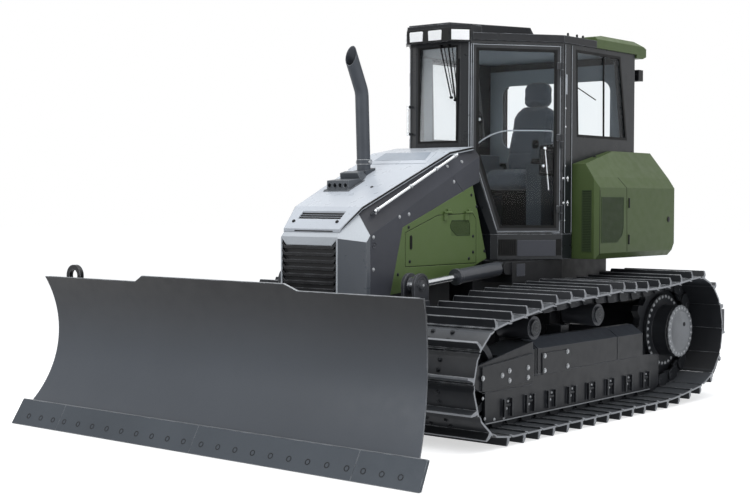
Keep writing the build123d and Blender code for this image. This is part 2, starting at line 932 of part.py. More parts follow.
# Swivel: ears on the nose pin, cross beam, clevises of the angle rods, tilt trunnion and post
swivel_base = arm_base - swivel_gap - swivel_ear_thick
swivel_top = arm_top + swivel_gap + swivel_ear_thick
with BuildPart() as blade_swivel:
    block(swivel_back, swivel_front, -swivel_half, swivel_half, swivel_base, swivel_top)
    for low in (swivel_base, swivel_top - swivel_ear_thick):
        high = low + swivel_ear_thick
        bar_up(nose_at, 0, low, high, nose_r)
        block(nose_at, swivel_back, -nose_r, nose_r, low, high)
    bar_up(nose_at, 0, swivel_base, swivel_top, nose_pin_r + pin_gap, Mode.SUBTRACT)
    clevis_top = angle_z + angle_eye_half + eye_gap + angle_ear_thick
    for side, where in sides:
        y_low, y_high = both_sides(angle_eye_y - 42, angle_eye_y + 42, side)
        block(swivel_back + 66, swivel_front, y_low, y_high, swivel_top, clevis_top)
        for face in (-1, 1):
            near = angle_z + face * (angle_eye_half + eye_gap)
            low, high = sorted((near, near + face * angle_ear_thick))
            block(swivel_back, swivel_front, y_low, y_high, low, high)
            bar_up(swivel_back, side * angle_eye_y, low, high, 42)
        cap = clevis_top + 8
        bar_up(swivel_back, side * angle_eye_y, clevis_top, cap, 24)
    bar_along(0, tilt_z, swivel_front, tilt_pin_end, tilt_pin_r)
    block(swivel_back + 40, swivel_front, tilt_cyl_y - 46, tilt_cyl_y + 46, swivel_top, tilt_cyl_z + 46)
    bar_along(tilt_cyl_y, tilt_cyl_z, swivel_front, tilt_cyl_at + tilt_eye_half + 12, tilt_pivot_r)
blade_swivel.part.label = "blade_swivel"
export_step(blade_swivel.part, "parts/blade_swivel.step")

# Blade: curved moldboard with a raised crown, back beam, ribs, tilt bearing, lifting ring
slope_along = (cos(radians(edge_slope)), -sin(radians(edge_slope)))
slope_out = (sin(radians(edge_slope)), cos(radians(edge_slope)))
edge_tip = (front_reach, edge_height)
edge_head = (edge_tip[0] - edge_length * slope_along[0], edge_tip[1] - edge_length * slope_along[1])
mold_foot = (edge_head[0] - edge_thick * slope_out[0], edge_head[1] - edge_thick * slope_out[1])
mold_tail_run = 120
mold_tail = (mold_foot[0] + mold_tail_run * slope_along[0], mold_foot[1] + mold_tail_run * slope_along[1])
mold_reach = mold_low_half + 40


def mold_face(depth_front, depth_back):
    """Side view of the curved plate between two depths behind its front surface."""
    with BuildSketch(side_plane(mold_reach)) as flat:
        with BuildLine():
            front = ThreePointArc(
                (mold_top_at - depth_front, mold_crown_top),
                (mold_mid_at - depth_front, mold_mid_z),
                (mold_foot[0] - depth_front, mold_foot[1]),
            )
            back = ThreePointArc(
                (mold_top_at - depth_back, mold_crown_top),
                (mold_mid_at - depth_back, mold_mid_z),
                (mold_foot[0] - depth_back, mold_foot[1]),
            )
            Line(front @ 0, back @ 0)
            Line(front @ 1, back @ 1)
        make_face()
    return flat.sketch


with BuildPart() as blade:
    extrude(mold_face(0, mold_thick), amount=2 * mold_reach)
    tail = (
        mold_foot,
        mold_tail,
        (mold_tail[0] - mold_thick, mold_tail[1]),
        (mold_foot[0] - mold_thick, mold_foot[1]),
    )
    plate(tail, -mold_reach, mold_reach)
    front_view = (
        (-mold_reach, mold_tail[1] - 20),
        (-mold_reach, mold_side_top),
        (-crown_foot_half, mold_side_top),
        (-crown_half, mold_crown_top),
        (crown_half, mold_crown_top),
        (crown_foot_half, mold_side_top),
        (mold_reach, mold_side_top),
        (mold_reach, mold_tail[1] - 20),
    )
    extrude(outline(cross_plane(mold_mid_at - 200), front_view), amount=600, mode=Mode.INTERSECT)
    # the ends are cut square to the ground, spreading forward
    end_spread = (mold_low_half - mold_mid_half) / (mold_foot[0] - mold_mid_at)
    rear_half = mold_mid_half - 200 * end_spread
    front_half = mold_mid_half + 400 * end_spread
    plan_view = (
        (mold_mid_at - 200, -rear_half),
        (mold_mid_at + 400, -front_half),
        (mold_mid_at + 400, front_half),
        (mold_mid_at - 200, rear_half),
    )
    extrude(outline(floor_plane(mold_tail[1] - 30), plan_view), amount=1500, mode=Mode.INTERSECT)
    # the back beam, the ribs and the top rail fill the room between this upright line and the plate
    behind_low = (back_beam_at, back_beam_base - 130)
    behind_high = (back_beam_at, mold_crown_top)
    with BuildSketch(side_plane(back_beam_half)):
        with BuildLine():
            arc = ThreePointArc(
                (mold_top_at - 10, mold_crown_top),
                (mold_mid_at - 10, mold_mid_z),
                (mold_foot[0] - 10, mold_foot[1]),
            )
            Polyline(arc @ 1, behind_low, behind_high, arc @ 0)
        make_face()
        with BuildLine():
            Polyline(
                (back_beam_at, back_beam_base),
                (back_beam_at, back_beam_top),
                (mold_foot[0] + 50, back_beam_top),
                (mold_foot[0] + 50, back_beam_base),
                close=True,
            )
        make_face(mode=Mode.INTERSECT)
    extrude(amount=2 * back_beam_half)
    for rib_y in rib_places:
        with BuildSketch(side_plane(rib_y + rib_thick / 2)):
            with BuildLine():
                arc = ThreePointArc(
                    (mold_top_at - 10, mold_crown_top),
                    (mold_mid_at - 10, mold_mid_z),
                    (mold_foot[0] - 10, mold_foot[1]),
                )
                Polyline(arc @ 1, behind_low, behind_high, arc @ 0)
            make_face()
            with BuildLine():
                Polyline(
                    (back_beam_at + 8, back_beam_base - 60),
                    (back_beam_at + 8, back_beam_top + 60),
                    (rib_back, top_rail_top),
                    (mold_top_at, top_rail_top),
                    (mold_top_at, back_beam_base),
                    (mold_foot[0], back_beam_base - 130),
                    close=True,
                )
            make_face(mode=Mode.INTERSECT)
        extrude(amount=rib_thick)
    rail_reach = mold_mid_half - 60
    with BuildSketch(side_plane(rail_reach)):
        with BuildLine():
            arc = ThreePointArc(
                (mold_top_at - 10, mold_crown_top),
                (mold_mid_at - 10, mold_mid_z),
                (mold_foot[0] - 10, mold_foot[1]),
            )
            Polyline(arc @ 1, behind_low, behind_high, arc @ 0)
        make_face()
        with BuildLine():
            Polyline(
                (rib_back + 20, top_rail_base),
                (rib_back + 20, top_rail_top),
                (mold_top_at, top_rail_top),
                (mold_top_at, top_rail_base),
                close=True,
            )
        make_face(mode=Mode.INTERSECT)
    extrude(amount=2 * rail_reach)
    block(swivel_front + 12, back_beam_at + 10, -150, 150, tilt_z - 125, tilt_z + 125)
    bar_along(0, tilt_z, swivel_front + 10, tilt_pin_end + 20, tilt_pin_r + pin_gap, Mode.SUBTRACT)
    ear_back = tilt_cyl_at - tilt_eye_half - eye_gap - 18
    ear_front = tilt_cyl_at + tilt_eye_half + eye_gap
    ear_root = mold_mid_at - 10
    block(ear_back, ear_root, -tilt_cyl_y - 80, -tilt_cyl_y - 50, tilt_cyl_z - 46, tilt_cyl_z + 46)
    for at in (ear_back, ear_front):
        block(at, at + 18, -tilt_cyl_y - 80, -tilt_cyl_y + 44, tilt_cyl_z - 46, tilt_cyl_z + 46)
    with BuildSketch(cross_plane(ring_back)) as ring:
        with Locations((ring_y, mold_side_top + 12)):
            Circle(ring_r + ring_bar_r)
            Circle(ring_r - ring_bar_r, mode=Mode.SUBTRACT)
    extrude(amount=2 * ring_bar_r)
    ring_foot = (
        (ring_back, top_rail_top - 5),
        (ring_back + 46, top_rail_top - 5),
        (ring_back + 70, mold_side_top - 40),
        (ring_back, mold_side_top - 40),
    )
    plate(ring_foot, ring_y - ring_foot_half, ring_y + ring_foot_half)
blade.part.label = "blade"
export_step(blade.part, "parts/blade.step")

# Cutting edges: two middle plates and an end bit each side, bolted along the moldboard's foot
with BuildPart() as cutting_edges:
    flat_back = mold_foot[0] + (mold_foot[1] - edge_height) * slope_along[0] / -slope_along[1]
    edge_view = (
        (edge_tip[0], edge_tip[1]),
        edge_head,
        (mold_foot[0] + seat_gap * slope_out[0], mold_foot[1] + seat_gap * slope_out[1]),
        (flat_back + seat_gap / slope_out[0], edge_height),
    )
    bit_reach = max(bit_low_half, bit_top_half)
    plate(edge_view, seam_gap / 2, bit_seam - seam_gap / 2)
    plate(edge_view, -bit_seam + seam_gap / 2, -seam_gap / 2)
    for side, where in sides:
        y_low, y_high = both_sides(bit_seam + seam_gap / 2, bit_reach, side)
        plate(edge_view, y_low, y_high)
        trim = (
            (side * bit_low_half, edge_height),
            (side * bit_top_half, edge_head[1]),
            (side * bit_top_half, edge_head[1] + 20),
            (side * (bit_reach + 20), edge_head[1] + 20),
            (side * (bit_reach + 20), edge_height),
        )
        extrude(outline(cross_plane(mold_foot[0] - 60), trim), amount=300, mode=Mode.SUBTRACT)
cutting_edges.part.label = "cutting_edges"
export_step(cutting_edges.part, "parts/cutting_edges.step")

# Lift cylinders, one a side
lift_length = hypot(lift_eye_at - lift_pivot_at, lift_eye_z - lift_pivot_z)


def lift_run(side):
    """Plane of a lift cylinder at its pivot on the side box."""
    start = place(lift_pivot_at, side * lift_y, lift_pivot_z)
    end = place(lift_eye_at, side * lift_y, lift_eye_z)
    return run_plane(start, end, (0, 1, 0))


with BuildPart() as lift_barrels:
    for side, where in sides:
        run = lift_run(side)
        barrel(run, lift_barrel_end, lift_barrel_r, lift_rod_r, lift_pivot_eye_r, lift_eye_half, lift_pin_r)
lift_barrels.part.label = "lift_barrels"
export_step(lift_barrels.part, "parts/lift_barrels.step")

with BuildPart() as lift_rods:
    for side, where in sides:
        run = lift_run(side)
        rod(run, lift_rod_start, lift_length, lift_rod_r, lift_eye_r, lift_eye_half)
lift_rods.part.label = "lift_rods"
export_step(lift_rods.part, "parts/lift_rods.step")

# Angle cylinders, each on its own pivot
angle_length = hypot(swivel_back - angle_pivot_at, angle_eye_y - angle_pivot_y)
for side, where in sides:
    pivot = place(angle_pivot_at, side * angle_pivot_y, angle_z)
    run = run_plane(pivot, place(swivel_back, side * angle_eye_y, angle_z), (0, 0, 1))
    with BuildPart() as angle_barrel:
        barrel(run, angle_barrel_end, angle_barrel_r, angle_rod_r, angle_eye_r, angle_eye_half, angle_pin_r)
    angle_barrel.part.label = where + "_angle_barrel"
    export_step(angle_barrel.part, "parts/" + where + "_angle_barrel.step")
    with BuildPart() as angle_rod:
        rod(run, angle_rod_start, angle_length, angle_rod_r, angle_eye_r, angle_eye_half)
    angle_rod.part.label = where + "_angle_rod"
    export_step(angle_rod.part, "parts/" + where + "_angle_rod.step")

# Tilt cylinder across the back of the blade
tilt_pivot = place(tilt_cyl_at, tilt_cyl_y, tilt_cyl_z)
tilt_run = run_plane(tilt_pivot, place(tilt_cyl_at, -tilt_cyl_y, tilt_cyl_z), (1, 0, 0))
with BuildPart() as tilt_barrel:
    barrel(tilt_run, tilt_barrel_end, tilt_barrel_r, tilt_rod_r, tilt_eye_r, tilt_eye_half, tilt_pivot_r)
tilt_barrel.part.label = "tilt_barrel"
export_step(tilt_barrel.part, "parts/tilt_barrel.step")

with BuildPart() as tilt_rod:
    rod(tilt_run, tilt_rod_start, 2 * tilt_cyl_y, tilt_rod_r, tilt_eye_r, tilt_eye_half)
tilt_rod.part.label = "tilt_rod"
export_step(tilt_rod.part, "parts/tilt_rod.step")

# Hood top: sloping plate that narrows forward, with a short flat run before the cab
hood_line = (
    (hood_lip_at, hood_lip_z),
    (hood_brow_at, hood_brow_z),
    (hood_break_at, hood_break_z),
    (hood_rear_at, hood_rear_z),
)
hood_rear_half = hood_break_half


def brow_z(at):
    """Height of the hood plate's upper face on its front slope."""
    return hood_lip_z + (hood_brow_z - hood_lip_z) * (hood_lip_at - at) / (hood_lip_at - hood_brow_at)


with BuildPart() as hood_top:
    skin = [*hood_line, *((at, z - hood_plate) for at, z in reversed(hood_line))]
    plate(skin, -hood_side_y, hood_side_y)
    plan = (
        (hood_lip_at + 20, -hood_lip_half),
        (hood_lip_at + 20, hood_lip_half),
        (hood_brow_at, hood_brow_half),
        (hood_break_at, hood_break_half),
        (hood_rear_at - 20, hood_rear_half),
        (hood_rear_at - 20, -hood_rear_half),
        (hood_break_at, -hood_break_half),
        (hood_brow_at, -hood_brow_half),
    )
    extrude(outline(floor_plane(nose_base), plan), amount=1400, mode=Mode.INTERSECT)
    # pocket of the air slot in the front slope
    slope_z = [brow_z(at) for at in slot_places]
    pocket = (
        (slot_places[0], slope_z[0] - slot_depth),
        (slot_places[0], slope_z[0] + 60),
        (slot_places[1], slope_z[1] + 60),
        (slot_places[1], slope_z[1] - slot_depth),
    )
    plate(pocket, -slot_half, slot_half, Mode.SUBTRACT)
hood_top.part.label = "hood_top"
export_step(hood_top.part, "parts/hood_top.step")


def crease_z(at):
    """Height of the crease where the hood's shoulder meets its upright side."""
    return crease_z_front + (crease_z_rear - crease_z_front) * (nose_rear - at) / (nose_rear - crease_rear_at)


# each station of the hood's edge: place, height of the plate's top, half width of the plate
hood_stations = (
    (hood_lip_at, hood_lip_z, hood_lip_half),
    (hood_brow_at, hood_brow_z, hood_brow_half),
    (hood_break_at, hood_break_z, hood_break_half),
    (hood_rear_at - 60, hood_rear_z + 9, hood_rear_half),
)


def shoulder_inner(at):
    """Inner edge of the shoulder strip, tucked under the hood plate: half width and height."""
    for first, second in zip(hood_stations, hood_stations[1:]):
        share = (first[0] - at) / (first[0] - second[0])
        if share <= 1:
            break
    top = first[1] + (second[1] - first[1]) * share
    half = first[2] + (second[2] - first[2]) * share
    return half - shoulder_tuck, top - hood_plate - seat_gap


def shoulder_section(side, at):
    """Cross-section of the shoulder strip at one place."""
    inner_half, inner_z = shoulder_inner(at)
    outer_z = crease_z(at) - 6
    corners = (
        (side * (hood_side_y - panel_thick), outer_z - 40),
        (side * hood_side_y, outer_z),
        (side * inner_half, inner_z),
        (side * inner_half, inner_z - 40),
    )
    return outline(cross_plane(at), corners).faces()[0]


# Nose: front wall with bevelled corners round the grille, under the hood's lip
with BuildPart() as hood_nose:
    nose_plan = (
        (nose_rear, hood_side_y),
        (nose_bevel_at, hood_side_y),
        (nose_front, nose_half),
        (nose_front, -nose_half),
        (nose_bevel_at, -hood_side_y),
        (nose_rear, -hood_side_y),
    )
    nose_inner = (
        (nose_rear - 5, hood_side_y - panel_thick),
        (nose_bevel_at - 16, hood_side_y - panel_thick),
        (nose_front - panel_thick, nose_half - 16),
        (nose_front - panel_thick, -nose_half + 16),
        (nose_bevel_at - 16, -hood_side_y + panel_thick),
        (nose_rear - 5, -hood_side_y + panel_thick),
    )
    extrude(outline(floor_plane(nose_base), nose_plan), amount=hood_brow_z - nose_base)
    cavity = nose_lip_z - 12 - nose_base
    extrude(outline(floor_plane(nose_base), nose_inner), amount=cavity, mode=Mode.SUBTRACT)
    above = (
        (nose_front + 10, nose_lip_z),
        (hood_lip_at, hood_lip_z - hood_plate - seat_gap),
        (nose_rear - 10, brow_z(nose_rear - 10) - hood_plate - seat_gap),
        (nose_rear - 10, hood_brow_z + 60),
        (nose_front + 10, hood_brow_z + 60),
    )
    plate(above, -hood_side_y, hood_side_y, Mode.SUBTRACT)
    # each shoulder is one facet through the front corner, the hood's edge and the crease
    for side, where in sides:
        inner_half, inner_z = shoulder_inner(nose_rear)
        front_corner = Vector(*place(nose_front, side * nose_half, nose_lip_z + 4))
        edge_corner = Vector(*place(nose_rear, side * inner_half, inner_z))
        crease_corner = Vector(*place(nose_rear, side * hood_side_y, crease_z_front - 6))
        lean = (crease_corner - front_corner).cross(edge_corner - front_corner)
        if lean.Z < 0:
            lean = -lean
        facet = Plane(origin=front_corner, x_dir=edge_corner - front_corner, z_dir=lean)
        with BuildSketch(facet) as over:
            Rectangle(1200, 1200)
        extrude(over.sketch, amount=300, mode=Mode.SUBTRACT)
    grille_mouth = (
        (-grille_half, grille_base),
        (-grille_half, grille_top + grille_corner),
        (-grille_half + grille_corner, grille_top),
        (grille_half - grille_corner, grille_top),
        (grille_half, grille_top + grille_corner),
        (grille_half, grille_base),
    )
    mouth_run = nose_front + 10 - nose_rear
    extrude(outline(cross_plane(nose_rear), grille_mouth), amount=mouth_run, mode=Mode.SUBTRACT)
hood_nose.part.label = "hood_nose"
export_step(hood_nose.part, "parts/hood_nose.step")

# Grille: a dark frame of level slats set in the nose
with BuildPart() as grille:
    grille_back = nose_front - panel_thick
    frame_half = grille_half - seat_gap
    frame_low, frame_high = grille_base + seat_gap, grille_top - seat_gap
    block(grille_back, grille_back + 8, -frame_half, frame_half, frame_low, frame_high)
    slat_step = (grille_top - grille_base - slat_height - 8) / (slat_count - 1)
    for number in range(slat_count):
        low = grille_base + 4 + number * slat_step
        high = low + slat_height
        slat = (
            (-frame_half, low + slat_upturn),
            (-frame_half + slat_upturn, low),
            (frame_half - slat_upturn, low),
            (frame_half, low + slat_upturn),
            (frame_half, high + slat_upturn),
            (frame_half - slat_upturn, high),
            (-frame_half + slat_upturn, high),
            (-frame_half, high + slat_upturn),
        )
        extrude(outline(cross_plane(grille_back + 4), slat), amount=grille_depth - 4)
grille.part.label = "grille"
export_step(grille.part, "parts/grille.step")

# Hood sides: dark shoulder and upper side panel from the nose back to the cab
green_front_top = (2625, 1461)
green_rear_top = (1753, 1773)
green_rear_low = (1578, 1252)
green_foot = (1562, 1204)
green_front_low = (2766, 977)
green_fall = (green_front_low[0] - green_front_top[0]) / (green_front_top[1] - green_front_low[1])
green_foot_at = green_front_low[0] + (green_front_low[1] - nose_base) * green_fall
with BuildPart() as hood_sides:
    for side, where in sides:
        y_low, y_high = both_sides(hood_side_y - panel_thick, hood_side_y, side)
        upper = (
            (nose_rear - seat_gap, nose_base),
            (nose_rear - seat_gap, crease_z_front - 6),
            (side_rear_at, crease_z(side_rear_at) - 6),
            (side_rear_at, green_rear_top[1] + 30),
            (green_rear_top[0], green_rear_top[1] + panel_seam),
            (green_front_top[0] + panel_seam, green_front_top[1] + panel_seam),
            (green_foot_at + panel_seam, nose_base),
        )
        plate(upper, y_low, y_high)
        # shoulder: a sloping strip from the crease up to the hood plate's edge
        strip_places = (nose_rear - seat_gap, hood_brow_at, hood_break_at, side_rear_at)
        for first, last in zip(strip_places, strip_places[1:]):
            loft([shoulder_section(side, first), shoulder_section(side, last)], ruled=True)
hood_sides.part.label = "hood_sides"
export_step(hood_sides.part, "parts/hood_sides.step")

# Engine side panels: green lower panels with the door opening cut out
door_points = ((2594, 1170), (2594, 1424), (2200, 1549), (1752, 1562), (1702, 1512), (1702, 1170))
green_points = (
    green_front_top,
    green_rear_top,
    green_rear_low,
    green_foot,
    (1938, 1083),
    (2338, 1013),
    green_front_low,
)
with BuildPart() as side_panels:
    for side, where in sides:
        y_low, y_high = both_sides(hood_side_y - panel_thick, hood_side_y, side)
        plate(green_points, y_low, y_high)
        with BuildSketch(side_plane(y_high)) as opening:
            with BuildLine():
                Polyline(*door_points, close=True)
            make_face()
        extrude(opening.sketch, amount=panel_thick, mode=Mode.SUBTRACT)
        hinge_y = side * (hood_side_y + leaf_hinge_out)
        for at in leaf_hinge_places:
            bar_along(hinge_y, leaf_hinge_z, at - leaf_knuckle, at, leaf_hinge_r)
            y_low, y_high = both_sides(hood_side_y - 1, hood_side_y + leaf_hinge_out, side)
            block(at - leaf_knuckle, at, y_low, y_high, leaf_hinge_z, leaf_hinge_z + 26)
side_panels.part.label = "side_panels"
export_step(side_panels.part, "parts/side_panels.step")

for side, where in sides:
    y_low, y_high = both_sides(hood_side_y - panel_thick, hood_side_y, side)
    with BuildPart() as engine_door:
        with BuildSketch(side_plane(y_high)):
            with BuildLine():
                Polyline(*door_points, close=True)
            make_face()
            offset(amount=-door_gap, kind=Kind.INTERSECTION, mode=Mode.REPLACE)
        extrude(amount=panel_thick)
        hinge_y = side * (hood_side_y + leaf_hinge_out)
        for at in leaf_hinge_places:
            first, last = at + seat_gap, at + leaf_knuckle
            bar_along(hinge_y, leaf_hinge_z, first, last, leaf_hinge_r)
            y_low, y_high = both_sides(hood_side_y + 1, hood_side_y + leaf_hinge_out, side)
            block(first, last, y_low, y_high, leaf_hinge_z - 60, leaf_hinge_z)
            y_low, y_high = both_sides(hood_side_y - 1, hood_side_y + 2, side)
            block(first, last, y_low, y_high, leaf_hinge_z - 60, leaf_hinge_z - 32)
    engine_door.part.label = where + "_engine_door"
    export_step(engine_door.part, "parts/" + where + "_engine_door.step")

# Engine: one plain block under the hood, on the main frame's deck
with BuildPart() as engine_block:
    block(engine_rear, engine_front, -engine_half, engine_half, hull_deck + seat_gap, engine_top)
engine_block.part.label = "engine_block"
export_step(engine_block.part, "parts/engine_block.step")


def hood_z(at):
    """Height of the hood plate's upper face on its long slope."""
    return hood_brow_z + (hood_break_z - hood_brow_z) * (hood_brow_at - at) / (hood_brow_at - hood_break_at)


# Exhaust: an upright pipe whose top leans forward, with its mouth cut off facing forward
with BuildPart() as exhaust:
    bend = radians(exhaust_lean)
    tip_at = exhaust_bend_at + exhaust_tip_run * sin(bend)
    tip_z = exhaust_bend_z + exhaust_tip_run * cos(bend)
    with BuildLine() as pipe_path:
        FilletPolyline(
            place(exhaust_at, exhaust_y, exhaust_foot_z),
            place(exhaust_bend_at, exhaust_y, exhaust_bend_z),
            place(tip_at, exhaust_y, tip_z),
            radius=190,
        )
    for radius, mode in ((exhaust_r, Mode.ADD), (exhaust_r - exhaust_wall, Mode.SUBTRACT)):
        with BuildSketch(Plane(origin=pipe_path.line @ 0, z_dir=pipe_path.line % 0)) as ring:
            Circle(radius)
        sweep(sections=ring.sketch, path=pipe_path.line, mode=mode)
    below = (
        (exhaust_at - 200, hood_z(exhaust_at - 200) + seat_gap),
        (exhaust_at + 200, hood_z(exhaust_at + 200) + seat_gap),
        (exhaust_at + 200, exhaust_foot_z - 200),
        (exhaust_at - 200, exhaust_foot_z - 200),
    )
    plate(below, exhaust_y - 80, exhaust_y + 80, Mode.SUBTRACT)
    mouth_top, mouth_low = exhaust_mouth
    mouth_fall = (mouth_low[0] - mouth_top[0]) / (mouth_top[1] - mouth_low[1])
    ahead = (
        (mouth_top[0] - 120 * mouth_fall, mouth_top[1] + 120),
        (mouth_top[0] + 300, mouth_top[1] + 120),
        (mouth_top[0] + 300, mouth_low[1] - 120),
        (mouth_low[0] + 120 * mouth_fall, mouth_low[1] - 120),
    )
    plate(ahead, exhaust_y - 80, exhaust_y + 80, Mode.SUBTRACT)
    collar = (
        (exhaust_at - 58, hood_z(exhaust_at - 58) + seat_gap),
        (exhaust_at + 58, hood_z(exhaust_at + 58) + seat_gap),
        (exhaust_at + 58, hood_z(exhaust_at + 58) + 40),
        (exhaust_at - 58, hood_z(exhaust_at - 58) + 16),
    )
    plate(collar, exhaust_y - 62, exhaust_y + 62)
    bar_up(exhaust_at + 1, exhaust_y, hood_z(exhaust_at) + 70, hood_z(exhaust_at) + 100, exhaust_r + 7)
exhaust.part.label = "exhaust"
export_step(exhaust.part, "parts/exhaust.step")

# Air inlet: a low box ahead of the pipe with four round mouths in its front face
with BuildPart() as air_inlet:
    inlet_rear = inlet_at - inlet_length / 2
    inlet_front = inlet_at + inlet_length / 2
    box_view = (
        (inlet_rear, hood_z(inlet_rear) + seat_gap),
        (inlet_front, hood_z(inlet_front) + seat_gap),
        (inlet_front, hood_z(inlet_front) + inlet_height),
        (inlet_rear, hood_z(inlet_rear) + 26),
    )
    plate(box_view, exhaust_y - inlet_half, exhaust_y + inlet_half)
    mouth_step = 2 * inlet_half / 4
    for number in range(4):
        mouth_y = exhaust_y - inlet_half + (number + 0.5) * mouth_step
        mouth_z = hood_z(inlet_front) + inlet_height / 2
        bar_along(mouth_y, mouth_z, inlet_front - 40, inlet_front + 1, 17, Mode.SUBTRACT)
air_inlet.part.label = "air_inlet"
export_step(air_inlet.part, "parts/air_inlet.step")

# Cab base: floor slab under the cab, tapering to the door sills
with BuildPart() as cab_base:
    floor_plan = (
        (cab_foot_front, cab_foot_front_half),
        (cab_foot_a_at, cab_foot_a_half),
        (cab_b_at, cab_half),
        (body_front + 6, cab_half),
        (body_front + 6, cab_half - 4),
        (cab_rear_at, cab_half - 4),
        (cab_rear_at, -cab_half + 4),
        (body_front + 6, -cab_half + 4),
        (body_front + 6, -cab_half),
        (cab_b_at, -cab_half),
        (cab_foot_a_at, -cab_foot_a_half),
        (cab_foot_front, -cab_foot_front_half),
    )
    extrude(outline(floor_plane(cab_base_z), floor_plan), amount=cab_floor - cab_base_z - seat_gap)
cab_base.part.label = "cab_base"
export_step(cab_base.part, "parts/cab_base.step")


def cab_ring(front, front_half, a_at, a_half, b_at, half, rear):
    """Plan of the cab at one height."""
    left = ((front, front_half), (a_at, a_half), (b_at, half), (rear, half))
    right = tuple((at, -y) for at, y in reversed(left))
    return left + right


door_run = hypot(cab_a_at - cab_b_at, cab_half - cab_a_half)
door_dir = ((cab_b_at - cab_a_at) / door_run, (cab_half - cab_a_half) / door_run)
hinge_run = door_run - 13
hinge_out = 14
door_foot_run = (cab_a_at - cab_foot_a_at) / (cab_a_at - cab_b_at) * door_run


def door_plane(side, inset):
    """Door's plane, inset from the outer skin: local x from the front edge to the hinge, local y up.

    It extrudes inward with a negative amount on the left and a positive one on the right."""
    along = (door_dir[0], side * door_dir[1], 0)
    start_at = cab_a_at - inset * door_dir[1]
    start_y = side * (cab_a_half + inset * door_dir[0])
    return Plane(origin=place(start_at, start_y, 0), x_dir=along, z_dir=(along[1], -along[0], 0))


# Cab frame: hollow ring of pillars and lower walls, with the windows and both doorways cut through
with BuildPart() as cab_frame:
    outer_foot = cab_ring(
        cab_foot_front,
        cab_foot_front_half,
        cab_foot_a_at,
        cab_foot_a_half,
        cab_b_at,
        cab_half,
        cab_rear_at,
    )
    outer_kink = cab_ring(
        cab_front_at,
        cab_front_half,
        cab_a_at,
        cab_a_half,
        cab_b_at,
        cab_half,
        cab_rear_at,
    )
    inner_foot = cab_ring(
        cab_foot_front - cab_wall,
        cab_foot_front_half - 20,
        cab_foot_a_at - cab_wall,
        cab_foot_a_half - 24,
        cab_b_at - 24,
        cab_half - cab_wall,
        cab_rear_at + cab_wall,
    )
    inner_kink = cab_ring(
        cab_front_at - cab_wall,
        cab_front_half - 20,
        cab_a_at - cab_wall,
        cab_a_half - 24,
        cab_b_at - 24,
        cab_half - cab_wall,
        cab_rear_at + cab_wall,
    )
    foot_face = outline(floor_plane(cab_floor), outer_foot).faces()[0]
    kink_face = outline(floor_plane(cab_kink), outer_kink).faces()[0]
    loft([foot_face, kink_face], ruled=True)
    extrude(outline(floor_plane(cab_kink), outer_kink), amount=cab_eave - cab_kink)
    foot_face = outline(floor_plane(cab_floor), inner_foot).faces()[0]
    kink_face = outline(floor_plane(cab_kink), inner_kink).faces()[0]
    loft([foot_face, kink_face], ruled=True, mode=Mode.SUBTRACT)
    extrude(outline(floor_plane(cab_kink), inner_kink), amount=cab_eave - cab_kink, mode=Mode.SUBTRACT)
    # each window through an end wall: first place, last place, half width, base, top
    for first, last, half, base, top in (
        (cab_front_at - 90, cab_front_at + 10, windshield_half, windshield_base, windshield_top),
        (cab_rear_at - 10, cab_rear_at + 90, rear_window_half, rear_window_base, rear_window_top),
    ):
        block(first, last, -half, half, base, top, Mode.SUBTRACT)
    for side, where in sides:
        y_low, y_high = both_sides(cab_half - 90, cab_half + 10, side)
        plate(side_window, y_low, y_high, Mode.SUBTRACT)
        doorway = (
            (door_edge, cab_eave - door_head),
            (door_edge, cab_kink),
            (door_foot_run + door_edge, cab_floor + 14),
            (door_run - 16, cab_floor + 14),
            (door_run - 16, cab_eave - door_head),
        )
        extrude(outline(door_plane(side, -20), doorway), amount=-side * 160, mode=Mode.SUBTRACT)
        hinge_x, hinge_y = tuple(door_plane(side, -hinge_out).from_local_coords((hinge_run, 0, 0)))[:2]
        for knuckle_z in hinge_heights:
            with BuildSketch(Plane(origin=(hinge_x, hinge_y, knuckle_z - 58))) as round_face:
                Circle(hinge_r)
            extrude(round_face.sketch, amount=58)
            strap = (
                (hinge_run - 2, knuckle_z - 56),
                (hinge_run - 2, knuckle_z - 2),
                (door_run, knuckle_z - 2),
                (door_run, knuckle_z - 56),
            )
            extrude(outline(door_plane(side, -12), strap), amount=-side * 22)
cab_frame.part.label = "cab_frame"
export_step(cab_frame.part, "parts/cab_frame.step")


side_lamp_run = hypot(visor_front - visor_side_at, visor_side_half - visor_half)


def side_lamp_out(side):
    """Level direction that the visor's angled side faces."""
    ahead = (visor_side_half - visor_half) / side_lamp_run
    return Vector(ahead, side * (visor_front - visor_side_at) / side_lamp_run, 0)


def side_lamp_face(side, out, shrink):
    """Outline of the lamp in the visor's angled side, on a plane lying out from its face."""
    run = side_lamp_run
    along = Vector((visor_side_at - visor_front) / run, side * (visor_side_half - visor_half) / run, 0)
    start = Vector(*place(visor_front, side * visor_half, 0)) + side_lamp_out(side) * out
    lamp = (
        (run / 2 - side_lamp_half + shrink, lamp_base + shrink),
        (run / 2 + side_lamp_half - shrink, lamp_base + shrink),
        (run / 2 + side_lamp_half - shrink, lamp_top - shrink),
        (run / 2 - side_lamp_half + shrink, lamp_top - shrink),
    )
    corners = [start + along * reach + Vector(0, 0, z) for reach, z in lamp]
    return Face(Wire.make_polygon(corners, close=True))


